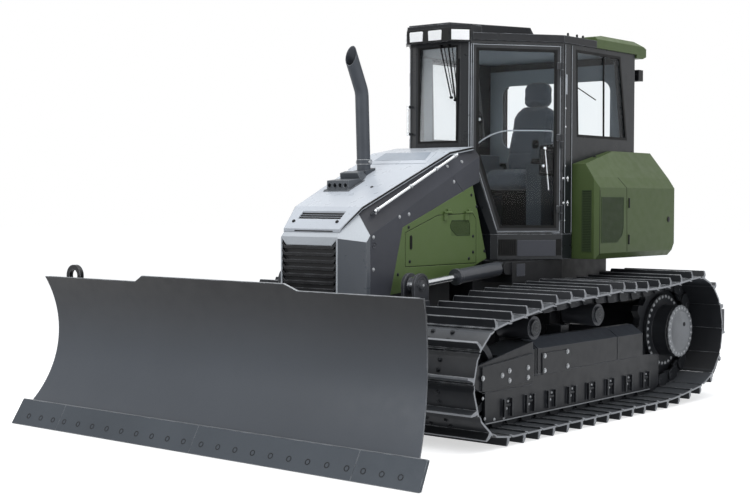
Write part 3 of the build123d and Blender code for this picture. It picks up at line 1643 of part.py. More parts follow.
# Cab roof: plate over the cab, raised middle and the lamp visor over the windshield
with BuildPart() as cab_roof:
    roof_plan = cab_ring(
        cab_front_at,
        cab_front_half,
        cab_a_at,
        cab_a_half,
        cab_b_at,
        cab_half,
        roof_cover_front,
    )
    with BuildSketch(floor_plane(cab_eave + seat_gap)):
        with BuildLine():
            Polyline(*roof_plan, close=True)
        make_face()
        offset(amount=roof_over, kind=Kind.INTERSECTION)
    extrude(amount=roof_thick)
    roof_rear = roof_cover_front + seat_gap
    roof_reach = cab_half + roof_over + 6
    block(roof_rear - 20, roof_rear, -roof_reach, roof_reach, cab_eave, roof_step_top, Mode.SUBTRACT)
    roof_top = cab_eave + seat_gap + roof_thick
    step_plan = (
        (roof_step_front, roof_step_tip),
        (roof_step_rear, roof_step_half),
        (roof_step_rear - roof_step_run, roof_step_half),
        (roof_step_rear - roof_step_run, -roof_step_half),
        (roof_step_rear, -roof_step_half),
        (roof_step_front, -roof_step_tip),
    )
    extrude(outline(floor_plane(roof_top - 4), step_plan), amount=roof_step_top - roof_top + 4)
    slope_view = (
        (roof_step_rear - roof_step_run - 5, roof_top),
        (roof_step_rear - roof_step_run, roof_top),
        (roof_step_rear, roof_step_top),
        (roof_step_rear, roof_step_top + 5),
        (roof_step_rear - roof_step_run - 5, roof_step_top + 5),
    )
    plate(slope_view, -roof_step_half - 5, roof_step_half + 5, mode=Mode.SUBTRACT)
    visor_plan = (
        (visor_front, visor_half),
        (visor_side_at, visor_side_half),
        (cab_a_at - 120, visor_side_half),
        (cab_a_at - 120, -visor_side_half),
        (visor_side_at, -visor_side_half),
        (visor_front, -visor_half),
    )
    extrude(outline(floor_plane(cab_eave + seat_gap), visor_plan), amount=visor_top - cab_eave - seat_gap)
    visor_lip = (
        (visor_front, visor_half),
        (visor_side_at, visor_side_half),
        (cab_a_at + 8, visor_side_half),
        (cab_front_at + seat_gap, cab_front_half + 10),
        (cab_front_at + seat_gap, -cab_front_half - 10),
        (cab_a_at + 8, -visor_side_half),
        (visor_side_at, -visor_side_half),
        (visor_front, -visor_half),
    )
    extrude(outline(floor_plane(visor_base), visor_lip), amount=cab_eave + seat_gap - visor_base + 4)
    for lamp_y in front_lamp_places:
        low, high = lamp_y - lamp_half, lamp_y + lamp_half
        block(visor_front - lamp_depth, visor_front + 5, low, high, lamp_base, lamp_top, Mode.SUBTRACT)
    for side, where in sides:
        inward = -side_lamp_out(side)
        extrude(side_lamp_face(side, 5, 0), amount=lamp_depth + 5, dir=inward, mode=Mode.SUBTRACT)
cab_roof.part.label = "cab_roof"
export_step(cab_roof.part, "parts/cab_roof.step")

# Rear roof cover: green hood over the cab's tail, reaching out behind the rear window
with BuildPart() as rear_roof_cover:
    cover_view = (
        (roof_cover_front, cab_eave + 2 * seat_gap),
        (roof_cover_front, roof_cover_top - 20),
        (roof_cover_front - 130, roof_cover_top),
        (roof_cover_rear + 150, roof_cover_top),
        (roof_cover_rear, roof_cover_top - 56),
        (roof_cover_rear, cab_eave - 10),
        (roof_cover_rear + 60, cab_eave - 30),
        (cab_rear_at - 12, cab_eave - 30),
        (cab_rear_at - 12, cab_eave + 2 * seat_gap),
    )
    plate(cover_view, -cab_half - roof_over, cab_half + roof_over)
    tops = rear_roof_cover.faces().sort_by(Axis.Z)[-1]
    chamfer(tops.edges().filter_by(Axis.X), 40)
rear_roof_cover.part.label = "rear_roof_cover"
export_step(rear_roof_cover.part, "parts/rear_roof_cover.step")

# Lamps in the visor: two in its front and one in each angled side
with BuildPart() as work_lamps:
    for lamp_y in front_lamp_places:
        block(
            visor_front - lamp_depth + seat_gap,
            visor_front + 3,
            lamp_y - lamp_half + seat_gap,
            lamp_y + lamp_half - seat_gap,
            lamp_base + seat_gap,
            lamp_top - seat_gap,
        )
    for side, where in sides:
        inward = -side_lamp_out(side)
        extrude(side_lamp_face(side, 3, seat_gap), amount=lamp_depth - seat_gap + 3, dir=inward)
work_lamps.part.label = "work_lamps"
export_step(work_lamps.part, "parts/work_lamps.step")

# Rear work lamps on the cab's hind pillars
with BuildPart() as rear_lamps:
    for side, where in sides:
        y_low, y_high = both_sides(rear_lamp_y - 62, rear_lamp_y + 62, side)
        lamp_tail = cab_rear_at - rear_lamp_stand
        block(lamp_tail - 75, lamp_tail, y_low, y_high, rear_lamp_z - 48, rear_lamp_z + 48)
        y_low, y_high = both_sides(rear_lamp_y - 16, rear_lamp_y + 16, side)
        block(lamp_tail, cab_rear_at - seat_gap, y_low, y_high, rear_lamp_z - 60, rear_lamp_z - 30)
rear_lamps.part.label = "rear_lamps"
export_step(rear_lamps.part, "parts/rear_lamps.step")

# Windshield, leaning back inside its opening
with BuildPart() as windshield:
    glass_view = (
        (cab_front_at - 8, windshield_base + seat_gap),
        (cab_front_at - 46, windshield_top - seat_gap),
        (cab_front_at - 46 - glass_thick, windshield_top - seat_gap),
        (cab_front_at - 8 - glass_thick, windshield_base + seat_gap),
    )
    plate(glass_view, -windshield_half + seat_gap, windshield_half - seat_gap)
windshield.part.label = "windshield"
export_step(windshield.part, "parts/windshield.step")

# Side and rear windows of the cab
with BuildPart() as cab_windows:
    for side, where in sides:
        y_low, y_high = both_sides(cab_half - 8 - glass_thick, cab_half - 8, side)
        with BuildSketch(side_plane(y_high)) as pane:
            with BuildLine():
                Polyline(*side_window, close=True)
            make_face()
            offset(amount=-seat_gap, kind=Kind.INTERSECTION, mode=Mode.REPLACE)
        extrude(pane.sketch, amount=glass_thick)
    rear_reach_y = rear_window_half - seat_gap
    block(
        cab_rear_at + 8,
        cab_rear_at + 8 + glass_thick,
        -rear_reach_y,
        rear_reach_y,
        rear_window_base + seat_gap,
        rear_window_top - seat_gap,
    )
cab_windows.part.label = "cab_windows"
export_step(cab_windows.part, "parts/cab_windows.step")

# Cab doors: frame with its window, hinge knuckles and handle; each pane is a piece of its own
leaf_outline = (
    (door_edge, cab_eave - door_head),
    (door_edge, cab_kink),
    (door_foot_run + door_edge, cab_floor + 14),
    (door_run - 16, cab_floor + 14),
    (door_run - 16, cab_eave - door_head),
)


def leaf_face(side, inset, shrink):
    """The doorway's outline in the door plane, shrunk all round."""
    with BuildSketch(door_plane(side, inset)) as face:
        with BuildLine():
            Polyline(*leaf_outline, close=True)
        make_face()
        offset(amount=-shrink, kind=Kind.INTERSECTION, mode=Mode.REPLACE)
    return face.sketch


for side, where in sides:
    with BuildPart() as cab_door:
        extrude(leaf_face(side, 0, door_gap), amount=-side * door_thick)
        extrude(leaf_face(side, -5, door_frame), amount=-side * (door_thick + 10), mode=Mode.SUBTRACT)
        hinge_x, hinge_y = tuple(door_plane(side, -hinge_out).from_local_coords((hinge_run, 0, 0)))[:2]
        for knuckle_z in hinge_heights:
            with BuildSketch(Plane(origin=(hinge_x, hinge_y, knuckle_z + seat_gap))) as round_face:
                Circle(hinge_r)
            extrude(round_face.sketch, amount=60)
            # each part of the strap: first run, last run, depth behind its outer face
            straps = ((door_run - door_frame - 8, door_run - 24, 13), (door_run - 26, hinge_run, 9))
            for first, last, depth in straps:
                strap = (
                    (first, knuckle_z + 4),
                    (first, knuckle_z + 56),
                    (last, knuckle_z + 56),
                    (last, knuckle_z + 4),
                )
                extrude(outline(door_plane(side, -12), strap), amount=-side * depth)
    cab_door.part.label = where + "_cab_door"
    export_step(cab_door.part, "parts/" + where + "_cab_door.step")
    with BuildPart() as door_glass:
        extrude(leaf_face(side, 10, door_frame + seat_gap), amount=-side * glass_thick)
    door_glass.part.label = where + "_door_glass"
    export_step(door_glass.part, "parts/" + where + "_door_glass.step")

# Seat: pedestal, cushion, back and headrest
with BuildPart() as seat:
    seat_foot = seat_top - seat_depth
    block(seat_at + 60, seat_at + 420, -seat_post_half, seat_post_half, cab_floor, seat_foot)
    block(seat_at + 20, seat_at + 20 + seat_run, -seat_half, seat_half, seat_foot, seat_top)
    back_view = (
        (seat_at + 90, seat_top - 60),
        (seat_at + 90 + seat_back_thick, seat_top - 60),
        (seat_at + 90 + seat_back_thick - seat_back_lean, seat_top + seat_back_height),
        (seat_at + 90 - seat_back_lean, seat_top + seat_back_height),
    )
    plate(back_view, -seat_back_half, seat_back_half)
    neck_view = (
        (seat_at - 44, seat_top + seat_back_height - 30),
        (seat_at + 50, seat_top + seat_back_height - 30),
        (seat_at + 40, seat_top + headrest_height),
        (seat_at - 44, seat_top + headrest_height),
    )
    plate(neck_view, -headrest_half, headrest_half)
    chamfer(seat.edges().filter_by(Axis.Z).group_by(Axis.Z)[-1], seat_corner)
seat.part.label = "seat"
export_step(seat.part, "parts/seat.step")

# Consoles: an armrest box each side of the seat with its lever, and the front console
with BuildPart() as consoles:
    for side, where in sides:
        y_low, y_high = both_sides(console_in, console_out, side)
        console_rear = seat_at + 120
        console_front = console_rear + console_run
        console_top = seat_top + console_rise
        block(console_rear, console_front, y_low, y_high, cab_floor, console_top)
        block(console_rear + 60, console_front - 60, y_low, y_high, console_top, seat_top + armrest_rise)
        y_low, y_high = both_sides(console_in + 45, console_out - 50, side)
        block(console_front - 45, console_front - 10, y_low, y_high, console_top, seat_top + lever_rise)
    front_console = (
        (1230, cab_floor),
        (1230, 1700),
        (1330, 1960),
        (1440, 1960),
        (1440, 1700),
        (1360, cab_floor),
    )
    plate(front_console, -front_console_half, front_console_half)
consoles.part.label = "consoles"
export_step(consoles.part, "parts/consoles.step")

# Handrails: a rod up each shoulder of the hood and a grab bar on the right front pillar
with BuildPart() as handrails:
    for side, where in sides:
        start, end = (place(at, side * y, z) for at, y, z in rail_ends)
        rail_length = (Vector(*end) - Vector(*start)).length
        stem(run_plane(start, end, (0, 1, 0)), -rail_r, rail_length + rail_r, rail_r)
        # a foot from each end, square to the shoulder
        for at, y, z in rail_ends:
            inner_half, inner_z = shoulder_inner(at)
            fall = Vector(hood_side_y - inner_half, crease_z(at) - 6 - inner_z, 0).normalized()
            reach = (y - inner_half) * -fall.Y + (z - inner_z) * fall.X
            foot = place(at, side * (y + reach * fall.Y), z - reach * fall.X)
            foot_plane = run_plane(foot, place(at, side * y, z), (1, 0, 0))
            stem(foot_plane, seat_gap + rail_foot_r / 3, reach, rail_foot_r)
    grab_at = cab_front_at + grab_stand
    bar_up(grab_at, -grab_y, grab_low, grab_high, grab_r)
    pillar_lean = (cab_front_at - cab_a_at) / (cab_a_half - cab_front_half)
    foot_at = cab_front_at - (grab_y - grab_r - cab_front_half) * pillar_lean + seat_gap
    for z in (grab_low + grab_r, grab_high - grab_r):
        bar_along(-grab_y, z, foot_at, grab_at, grab_r)
handrails.part.label = "handrails"
export_step(handrails.part, "parts/handrails.step")

# Rear side boxes: tank and battery housings beside the cab, with bevelled tops
with BuildPart() as rear_boxes:
    for side, where in sides:
        inner = cab_half + seat_gap
        section = (
            (side * inner, body_base),
            (side * inner, body_crest),
            (side * (inner + body_ledge), body_crest),
            (side * body_ridge_half, body_ridge_z),
            (side * body_half, body_shoulder_z),
            (side * body_half, body_base + body_hem),
            (side * (body_half - body_hem_run), body_base),
        )
        extrude(outline(cross_plane(body_rear), section), amount=body_front - body_rear)
    front_fall = (
        (body_crest_at, body_crest),
        (body_front + 20, body_front_z),
        (body_front + 20, body_crest + 20),
        (body_crest_at, body_crest + 20),
    )
    plate(front_fall, -body_half - 10, body_half + 10, Mode.SUBTRACT)
    rear_fall = (
        (body_rear - 5, body_shoulder_z - 10),
        (body_rear + body_tail_lean, body_crest + 10),
        (body_rear - 5, body_crest + 10),
    )
    plate(rear_fall, -body_half - 10, body_half + 10, Mode.SUBTRACT)
    rear_tuck = (
        (body_rear - 5, body_base - 5),
        (body_rear - 5, body_base + body_tuck_rise),
        (body_rear + body_tuck_run, body_base - 5),
    )
    plate(rear_tuck, -body_half - 10, body_half + 10, Mode.SUBTRACT)
    uprights = rear_boxes.edges().filter_by(Axis.Z)
    outer = [edge for edge in uprights if abs(edge.center().Y) > body_half - 1]
    chamfer([edge for edge in outer if edge.center().X > sprocket_x], body_corner)
rear_boxes.part.label = "rear_boxes"
export_step(rear_boxes.part, "parts/rear_boxes.step")

# Rear tank: green body behind the cab between the side boxes
with BuildPart() as rear_tank:
    tank_view = (
        (cab_rear_at - seat_gap, body_base),
        (cab_rear_at - seat_gap, body_crest),
        (body_rear + body_tail_lean, body_crest),
        (body_rear, body_shoulder_z),
        (body_rear, body_base + body_tuck_rise),
        (body_rear + body_tuck_run, body_base),
    )
    plate(tank_view, -cab_half, cab_half)
rear_tank.part.label = "rear_tank"
export_step(rear_tank.part, "parts/rear_tank.step")

# Ripper bracket on the hull's tail: back plate, ears and pins
low_ear_in = ripper_arm_half + 4


def ear_pair(middle_y, half_gap, at, z, radius, wall_at, pin_r):
    """Two round ears on a wall, each side of an eye, with the pin between them."""
    for face in (-1, 1):
        low, high = sorted((middle_y + face * half_gap, middle_y + face * (half_gap + ripper_ear_thick)))
        bar_across(at, z, low, high, radius)
        block(min(at, wall_at), max(at, wall_at), low, high, z - radius, z + radius)
    if pin_r:
        reach = half_gap + ripper_ear_thick
        bar_across(at, z, middle_y - reach, middle_y + reach, pin_r)


with BuildPart() as ripper_bracket:
    bracket_back = hull_rear - 60
    bracket_half = hull_half + 90
    bracket_low, bracket_high = ripper_low_z - 90, ripper_cyl_z + 70
    block(bracket_back, hull_rear - seat_gap, -bracket_half, bracket_half, bracket_low, bracket_high)
    for side, where in sides:
        ear_pair(side * ripper_arm_y, low_ear_in, ripper_pin_at, ripper_low_z, 60, bracket_back, ripper_pin_r)
        link_y = side * ripper_link_y
        ear_pair(link_y, low_ear_in, ripper_pin_at, ripper_high_z, 60, bracket_back, ripper_pin_r)
        rod_gap = ripper_cyl_eye_half + 4
        ear_pair(side * ripper_cyl_y, rod_gap, ripper_cyl_at, ripper_cyl_z, 46, bracket_back, ripper_pivot_r)
ripper_bracket.part.label = "ripper_bracket"
export_step(ripper_bracket.part, "parts/ripper_bracket.step")


def ripper_link(middle_y, z, open_gap):
    """Flat link between a bracket pin and a beam pin, with a bore at each end."""
    low, high = middle_y - ripper_arm_half, middle_y + ripper_arm_half
    bar_across(ripper_pin_at, z, low, high, ripper_eye_r)
    bar_across(ripper_beam_pin_at, z, low, high, ripper_eye_r)
    block(ripper_beam_pin_at, ripper_pin_at, low, high, z - 48, z + 48)
    bar_across(ripper_pin_at, z, low, high, ripper_pin_r + pin_gap, Mode.SUBTRACT)
    bar_across(ripper_beam_pin_at, z, low, high, ripper_pin_r + open_gap, Mode.SUBTRACT)


with BuildPart() as ripper_arms:
    for side, where in sides:
        ripper_link(side * ripper_arm_y, ripper_low_z, pin_gap)
ripper_arms.part.label = "ripper_arms"
export_step(ripper_arms.part, "parts/ripper_arms.step")

with BuildPart() as ripper_links:
    for side, where in sides:
        ripper_link(side * ripper_link_y, ripper_high_z, 0.6)
ripper_links.part.label = "ripper_links"
export_step(ripper_links.part, "parts/ripper_links.step")

# Ripper beam: box beam, ears for arms, links and rods, three curved shanks in their sockets
tail_face = -rear_reach
beam_front_face = tail_face + beam_side
with BuildPart() as ripper_beam:
    block(tail_face, beam_front_face, -ripper_half, ripper_half, beam_low, beam_low + beam_side)
    block(tail_face + 30, beam_front_face, -330, 330, beam_low + beam_side - 5, ripper_high_z + 66)
    for side, where in sides:
        root = beam_front_face - 10
        rod_gap = ripper_cyl_eye_half + eye_gap
        ear_pair(side * ripper_arm_y, low_ear_in, ripper_beam_pin_at, ripper_low_z, 60, root, ripper_pin_r)
        ear_pair(side * ripper_link_y, low_ear_in, ripper_beam_pin_at, ripper_high_z, 60, root, ripper_pin_r)
        ear_pair(side * ripper_cyl_y, rod_gap, ripper_rod_at, ripper_rod_z, 50, root, 0)
    for shank_y in shank_places:
        with BuildSketch(side_plane(shank_y + shank_thick / 2)):
            with BuildLine():
                head_front = (shank_front, beam_low + beam_side + 60)
                head_back = (shank_front - shank_depth, beam_low + beam_side + 60)
                waist_front = (shank_front, shank_bend_z)
                waist_back = (shank_front - shank_depth, shank_bend_z)
                Line(head_back, head_front)
                Line(head_front, waist_front)
                nib_front = (shank_tip_at - 26, shank_tip_z + 62)
                nib_back = (shank_tip_at - 110, shank_tip_z + 34)
                ThreePointArc(waist_front, (shank_front + 34, shank_bend_z - 110), nib_front)
                Line(nib_front, (shank_tip_at, shank_tip_z))
                Line((shank_tip_at, shank_tip_z), nib_back)
                ThreePointArc(nib_back, (shank_front - 80, shank_bend_z - 130), waist_back)
                Line(waist_back, head_back)
            make_face()
        extrude(amount=shank_thick)
ripper_beam.part.label = "ripper_beam"
export_step(ripper_beam.part, "parts/ripper_beam.step")

# Ripper cylinders, a pair
ripper_length = hypot(ripper_rod_at - ripper_cyl_at, ripper_rod_z - ripper_cyl_z)
with BuildPart() as ripper_barrels:
    for side, where in sides:
        run = run_plane(
            place(ripper_cyl_at, side * ripper_cyl_y, ripper_cyl_z),
            place(ripper_rod_at, side * ripper_cyl_y, ripper_rod_z),
            (0, 1, 0),
        )
        barrel(
            run,
            ripper_barrel_end,
            ripper_barrel_r,
            ripper_rod_r,
            ripper_cyl_eye_r,
            ripper_cyl_eye_half,
            ripper_pivot_r,
        )
ripper_barrels.part.label = "ripper_barrels"
export_step(ripper_barrels.part, "parts/ripper_barrels.step")

with BuildPart() as ripper_rods:
    for side, where in sides:
        run = run_plane(
            place(ripper_cyl_at, side * ripper_cyl_y, ripper_cyl_z),
            place(ripper_rod_at, side * ripper_cyl_y, ripper_rod_z),
            (0, 1, 0),
        )
        rod(run, ripper_rod_start, ripper_length, ripper_rod_r, ripper_cyl_eye_r, ripper_cyl_eye_half)
ripper_rods.part.label = "ripper_rods"
export_step(ripper_rods.part, "parts/ripper_rods.step")
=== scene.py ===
import math

import bmesh
import bpy
from mathutils import Matrix, Vector


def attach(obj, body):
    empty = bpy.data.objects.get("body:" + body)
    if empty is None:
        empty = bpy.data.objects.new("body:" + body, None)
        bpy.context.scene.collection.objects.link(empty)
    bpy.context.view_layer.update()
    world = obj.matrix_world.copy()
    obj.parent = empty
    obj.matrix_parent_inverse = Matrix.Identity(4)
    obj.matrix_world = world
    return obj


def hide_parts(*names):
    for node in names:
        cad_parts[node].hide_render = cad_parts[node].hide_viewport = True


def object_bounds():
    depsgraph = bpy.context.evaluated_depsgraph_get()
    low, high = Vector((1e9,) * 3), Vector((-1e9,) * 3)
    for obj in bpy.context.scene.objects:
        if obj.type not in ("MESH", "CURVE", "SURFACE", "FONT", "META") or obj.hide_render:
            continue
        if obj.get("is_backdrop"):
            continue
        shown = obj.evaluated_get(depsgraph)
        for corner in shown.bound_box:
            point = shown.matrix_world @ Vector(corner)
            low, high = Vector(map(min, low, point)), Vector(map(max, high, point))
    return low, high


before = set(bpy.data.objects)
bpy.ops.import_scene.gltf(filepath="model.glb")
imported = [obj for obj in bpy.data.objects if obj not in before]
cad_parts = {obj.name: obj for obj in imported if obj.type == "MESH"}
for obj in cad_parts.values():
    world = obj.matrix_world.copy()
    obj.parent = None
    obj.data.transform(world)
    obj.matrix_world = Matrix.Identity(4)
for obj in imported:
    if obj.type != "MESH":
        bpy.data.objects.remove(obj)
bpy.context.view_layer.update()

# Where the machine stands: a pale studio floor that runs out to a white surround,
# one wide soft lamp overhead, weaker ones from the front and the left, and the camera
# at the photograph's place, low down ahead of the left track.
scene = bpy.context.scene
scene.view_settings.view_transform = "Standard"


def put_in_scene(name, data):
    """A new object in the scene, for a mesh, a curve, a lamp or a camera."""
    thing = bpy.data.objects.new(name, data)
    scene.collection.objects.link(thing)
    return thing


def feed(tree, node, inputs):
    """Gives each named input of a node its value, or links it to another node's output."""
    for name, value in inputs.items():
        if isinstance(value, bpy.types.NodeSocket):
            tree.links.new(value, node.inputs[name])
        else:
            node.inputs[name].default_value = value
    return node


def add_node(tree, kind, inputs=(), **settings):
    """A new shader node with its settings and inputs."""
    node = tree.nodes.new("ShaderNode" + kind)
    for name, value in settings.items():
        setattr(node, name, value)
    return feed(tree, node, dict(inputs))


def in_view(tree):
    """1 for a ray from the camera, through glass or off a gloss, or 0 for what lights the scene."""
    ray = add_node(tree, "LightPath").outputs
    straight = {0: ray["Is Camera Ray"], 1: ray["Is Transmission Ray"]}
    straight = add_node(tree, "Math", straight, operation="MAXIMUM").outputs[0]
    seen = {0: straight, 1: ray["Is Glossy Ray"]}
    return add_node(tree, "Math", seen, operation="MAXIMUM").outputs[0]


lens = bpy.data.cameras.new("camera")
lens.sensor_width = 36
lens.lens = 66.45
camera = put_in_scene("camera", lens)
yaw, pitch, roll = math.radians(219.48), math.radians(-2.07), math.radians(0.15)
ahead = Vector((math.cos(yaw) * math.cos(pitch), math.sin(yaw) * math.cos(pitch), math.sin(pitch)))
level = ahead.cross(Vector((0, 0, 1))).normalized()
right = level * math.cos(roll) + level.cross(ahead) * math.sin(roll)
turn = Matrix((right, right.cross(ahead), -ahead)).transposed().to_4x4()
camera.matrix_world = Matrix.Translation((9.0605, 6.650, 1.660)) @ turn
scene.camera = camera

scene.world = bpy.data.worlds.new("surround")
scene.world.use_nodes = True
tree = scene.world.node_tree
tree.nodes.clear()
light = add_node(tree, "Background", {"Color": (0.93, 0.96, 1.0, 1), "Strength": 0.62})
white = add_node(tree, "Background", {"Color": (1, 1, 1, 1), "Strength": 1.0})
pick = add_node(tree, "MixShader", {0: in_view(tree), 1: light.outputs[0], 2: white.outputs[0]})
add_node(tree, "OutputWorld", {"Surface": pick.outputs[0]})

floor_reach, floor_glow = 60, 0.6
floor_mesh = bpy.data.meshes.new("floor")
ends = ((-1, -1), (1, -1), (1, 1), (-1, 1))
floor_corners = [(x * floor_reach, y * floor_reach, 0) for x, y in ends]
floor_mesh.from_pydata(floor_corners, [], [(0, 1, 2, 3)])
floor = put_in_scene("floor", floor_mesh)
pale = bpy.data.materials.new("pale_floor")
pale.use_nodes = True
tree = pale.node_tree
tree.nodes.clear()
matte = add_node(tree, "BsdfDiffuse", {"Color": (0.72, 0.72, 0.72, 1)})
share = add_node(tree, "Math", {0: in_view(tree), 1: floor_glow}, operation="MULTIPLY")
glow = add_node(tree, "Emission", {"Color": (1, 1, 1, 1), "Strength": share.outputs[0]})
both = add_node(tree, "AddShader", {0: matte.outputs[0], 1: glow.outputs[0]})
add_node(tree, "OutputMaterial", {"Surface": both.outputs[0]})
floor_mesh.materials.append(pale)
floor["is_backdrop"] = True

for name, place, aim, size, watts in (
    ("lamp_overhead", (0.5, 1.0, 7.5), (0, 0, 1), 7.5, 430),
    ("lamp_front", (9.5, -2.5, 4.2), (1, 0, 1), 4.5, 160),
    ("lamp_left", (2.5, 10.5, 4.0), (0, 0, 1), 5.0, 130),
):
    lamp = bpy.data.lights.new(name, "AREA")
    lamp.shape = "SQUARE"
    lamp.size = size
    lamp.energy = watts
    holder = put_in_scene(name, lamp)
    holder.location = place
    holder.rotation_mode = "QUATERNION"
    holder.rotation_quaternion = (Vector(aim) - Vector(place)).to_track_quat("-Z", "Y")

# Blade: a rolled plate of high-strength steel under slate-grey paint, scoured by earth,
# with its cutting edges and end bits held by countersunk plow bolts. Its colour darkens
# towards the top, painted shade under the blade's curl. The paint thins at the plates'
# edges, where the weathering below lets bare steel show, and these pale edges are also
# painted highlights.
crease_angle = math.radians(35)
middle_at = 1452.5


def tone(code):
    """A colour written as six hex digits, as the linear colour a shader takes."""
    parts = [int(code[i : i + 2], 16) / 255 for i in (0, 2, 4)]
    light = [c / 12.92 if c <= 0.04045 else ((c + 0.055) / 1.055) ** 2.4 for c in parts]
    return (*light, 1.0)


def mixed(tree, share, first, second):
    """A colour between two others."""
    inputs = {"Factor": share, 6: first, 7: second}
    return add_node(tree, "Mix", inputs, data_type="RGBA").outputs[2]


def build_wear_group():
    """Shared weathering: cloudy tint, fine grain, bare edges that are also painted highlights, dust,
    and sharp edges rounded.
    """
    group = bpy.data.node_groups.new("paint_weathering", "ShaderNodeTree")
    for name, kind, value in (
        ("Paint", "Color", None),
        ("Bare", "Color", None),
        ("Dust", "Color", None),
        ("Roughness", "Float", None),
        ("Wear", "Float", None),
        ("Dust Amount", "Float", None),
        ("Cloud Scale", "Float", 1.6),
        ("Grain Scale", "Float", 90.0),
        ("Grain", "Float", 0.3),
        ("Edge Radius", "Float", 0.006),
    ):
        kind = "NodeSocket" + kind
        socket = group.interface.new_socket(name=name, in_out="INPUT", socket_type=kind)
        if value is not None:
            socket.default_value = value
    given = group.nodes.new("NodeGroupInput").outputs
    place = add_node(group, "TexCoord").outputs["Object"]

    def noise(scale, detail):
        inputs = {"Vector": place, "Scale": scale, "Detail": detail}
        return add_node(group, "TexNoise", inputs).outputs["Fac"]

    def span(value, low, high, to_low, to_high):
        limits = {"From Min": low, "From Max": high, "To Min": to_low, "To Max": to_high}
        return add_node(group, "MapRange", {"Value": value, **limits}).outputs["Result"]

    def times(first, second):
        return add_node(group, "Math", {0: first, 1: second}, operation="MULTIPLY").outputs[0]

    def plus(first, second):
        return add_node(group, "Math", {0: first, 1: second}, operation="ADD").outputs[0]

    cloud, grain = noise(given["Cloud Scale"], 5), noise(given["Grain Scale"], 3)
    patch = noise(14, 6)
    face = add_node(group, "NewGeometry").outputs["Normal"]
    rounded = add_node(group, "Bevel", {"Radius": given["Edge Radius"]}, samples=4).outputs[0]
    meet = add_node(group, "VectorMath", {0: rounded, 1: face}, operation="DOT_PRODUCT")
    edge = span(meet.outputs["Value"], 0.995, 0.86, 0.0, 1.0)
    # bare edge mask: worn steel along the edges, made wide and pale enough to be painted highlights
    # as well
    bare = times(times(edge, span(patch, 0.38, 0.62, 0.15, 1.0)), given["Wear"])
    top = span(add_node(group, "SeparateXYZ", {0: face}).outputs["Z"], 0.2, 1.0, 0.12, 1.0)
    settled = times(times(top, span(cloud, 0.3, 0.75, 0.3, 1.0)), given["Dust Amount"])
    shade = times(span(cloud, 0.25, 0.8, 0.86, 1.1), span(grain, 0.3, 0.7, 0.97, 1.03))
    tint = {0: given["Paint"], "Scale": shade}
    tint = add_node(group, "VectorMath", tint, operation="SCALE").outputs[0]
    rough = plus(given["Roughness"], span(patch, 0.3, 0.7, -0.06, 0.08))
    dusty = mixed(group, settled, tint, given["Dust"])
    results = (
        ("Color", "Color", mixed(group, bare, dusty, given["Bare"])),
        ("Roughness", "Float", plus(rough, times(settled, 0.3))),
        ("Height", "Float", times(grain, given["Grain"])),
        ("Edge Normal", "Vector", rounded),
    )
    for name, kind, value in results:
        group.interface.new_socket(name=name, in_out="OUTPUT", socket_type="NodeSocket" + kind)
    feed(group, group.nodes.new("NodeGroupOutput"), {name: value for name, kind, value in results})
    return group


weathering = build_wear_group()


def coated(
    name, paint, rough, wear=0.5, dust=0.08, bare="6d7074", metallic=0.0, gloss=0.22, **settings
):
    """A painted or bare finish that wears at its edges, which also serve as painted highlights.
    Settings are other inputs of the group.
    """
    finish = bpy.data.materials.new(name)
    finish.use_nodes = True
    finish.diffuse_color = tone(paint)
    tree = finish.node_tree
    inputs = {"Paint": tone(paint), "Bare": tone(bare), "Dust": tone("8b8a86")}
    inputs |= {"Roughness": rough, "Wear": wear, "Dust Amount": dust}
    inputs |= {socket.replace("_", " ").title(): value for socket, value in settings.items()}
    aging = add_node(tree, "Group", inputs, node_tree=weathering, name="aging").outputs
    relief = {"Strength": 0.35, "Distance": 0.0012, "Height": aging["Height"]}
    relief = add_node(tree, "Bump", {"Normal": aging["Edge Normal"], **relief}).outputs["Normal"]
    skin = {"Metallic": metallic, "Specular IOR Level": gloss, "Normal": relief}
    skin |= {"Base Color": aging["Color"], "Roughness": aging["Roughness"]}
    feed(tree, tree.nodes["Principled BSDF"], skin)
    return finish


def painted_shade_by_height(finish, low_paint, high_paint, low, high):
    """Painted shade: blends a finish's paint from one colour low down to another high up, in metres.
    """
    tree = finish.node_tree
    place = add_node(tree, "TexCoord").outputs["Object"]
    height = add_node(tree, "SeparateXYZ", {0: place}).outputs["Z"]
    rise = {"Value": height, "From Min": low, "From Max": high}
    rise = add_node(tree, "MapRange", rise, interpolation_type="SMOOTHSTEP").outputs["Result"]
    feed(tree, tree.nodes["aging"], {"Paint": mixed(tree, rise, tone(low_paint), tone(high_paint))})


def dress(finish, *names):
    """Gives CAD nodes their finish."""
    for name in names:
        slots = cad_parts[name].data.materials
        slots.clear()
        slots.append(finish)


def spot(at, across, up):
    """A point in metres, from millimetres ahead of the sprocket, to the left and up."""
    return Vector(((at - middle_at) / 1000, across / 1000, up / 1000))


def add_piece(name, shape, finish, body="tractor", soft_edge=0.0, worn=None):
    """Turns a built shape into a piece on its body. A worn finish goes on its marked faces."""
    mesh = bpy.data.meshes.new(name)
    bmesh.ops.recalc_face_normals(shape, faces=shape.faces)
    shape.to_mesh(mesh)
    shape.free()
    piece = put_in_scene(name, mesh)
    mesh.materials.append(finish)
    if worn:
        mesh.materials.append(worn)
    if soft_edge:
        round_over = piece.modifiers.new("soft_edge", "BEVEL")
        round_over.width = soft_edge
        round_over.segments = 2
        round_over.limit_method = "ANGLE"
        round_over.angle_limit = crease_angle
    mesh.shade_smooth()
    mesh.set_sharp_from_angle(angle=crease_angle)
    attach(piece, body)
    return piece


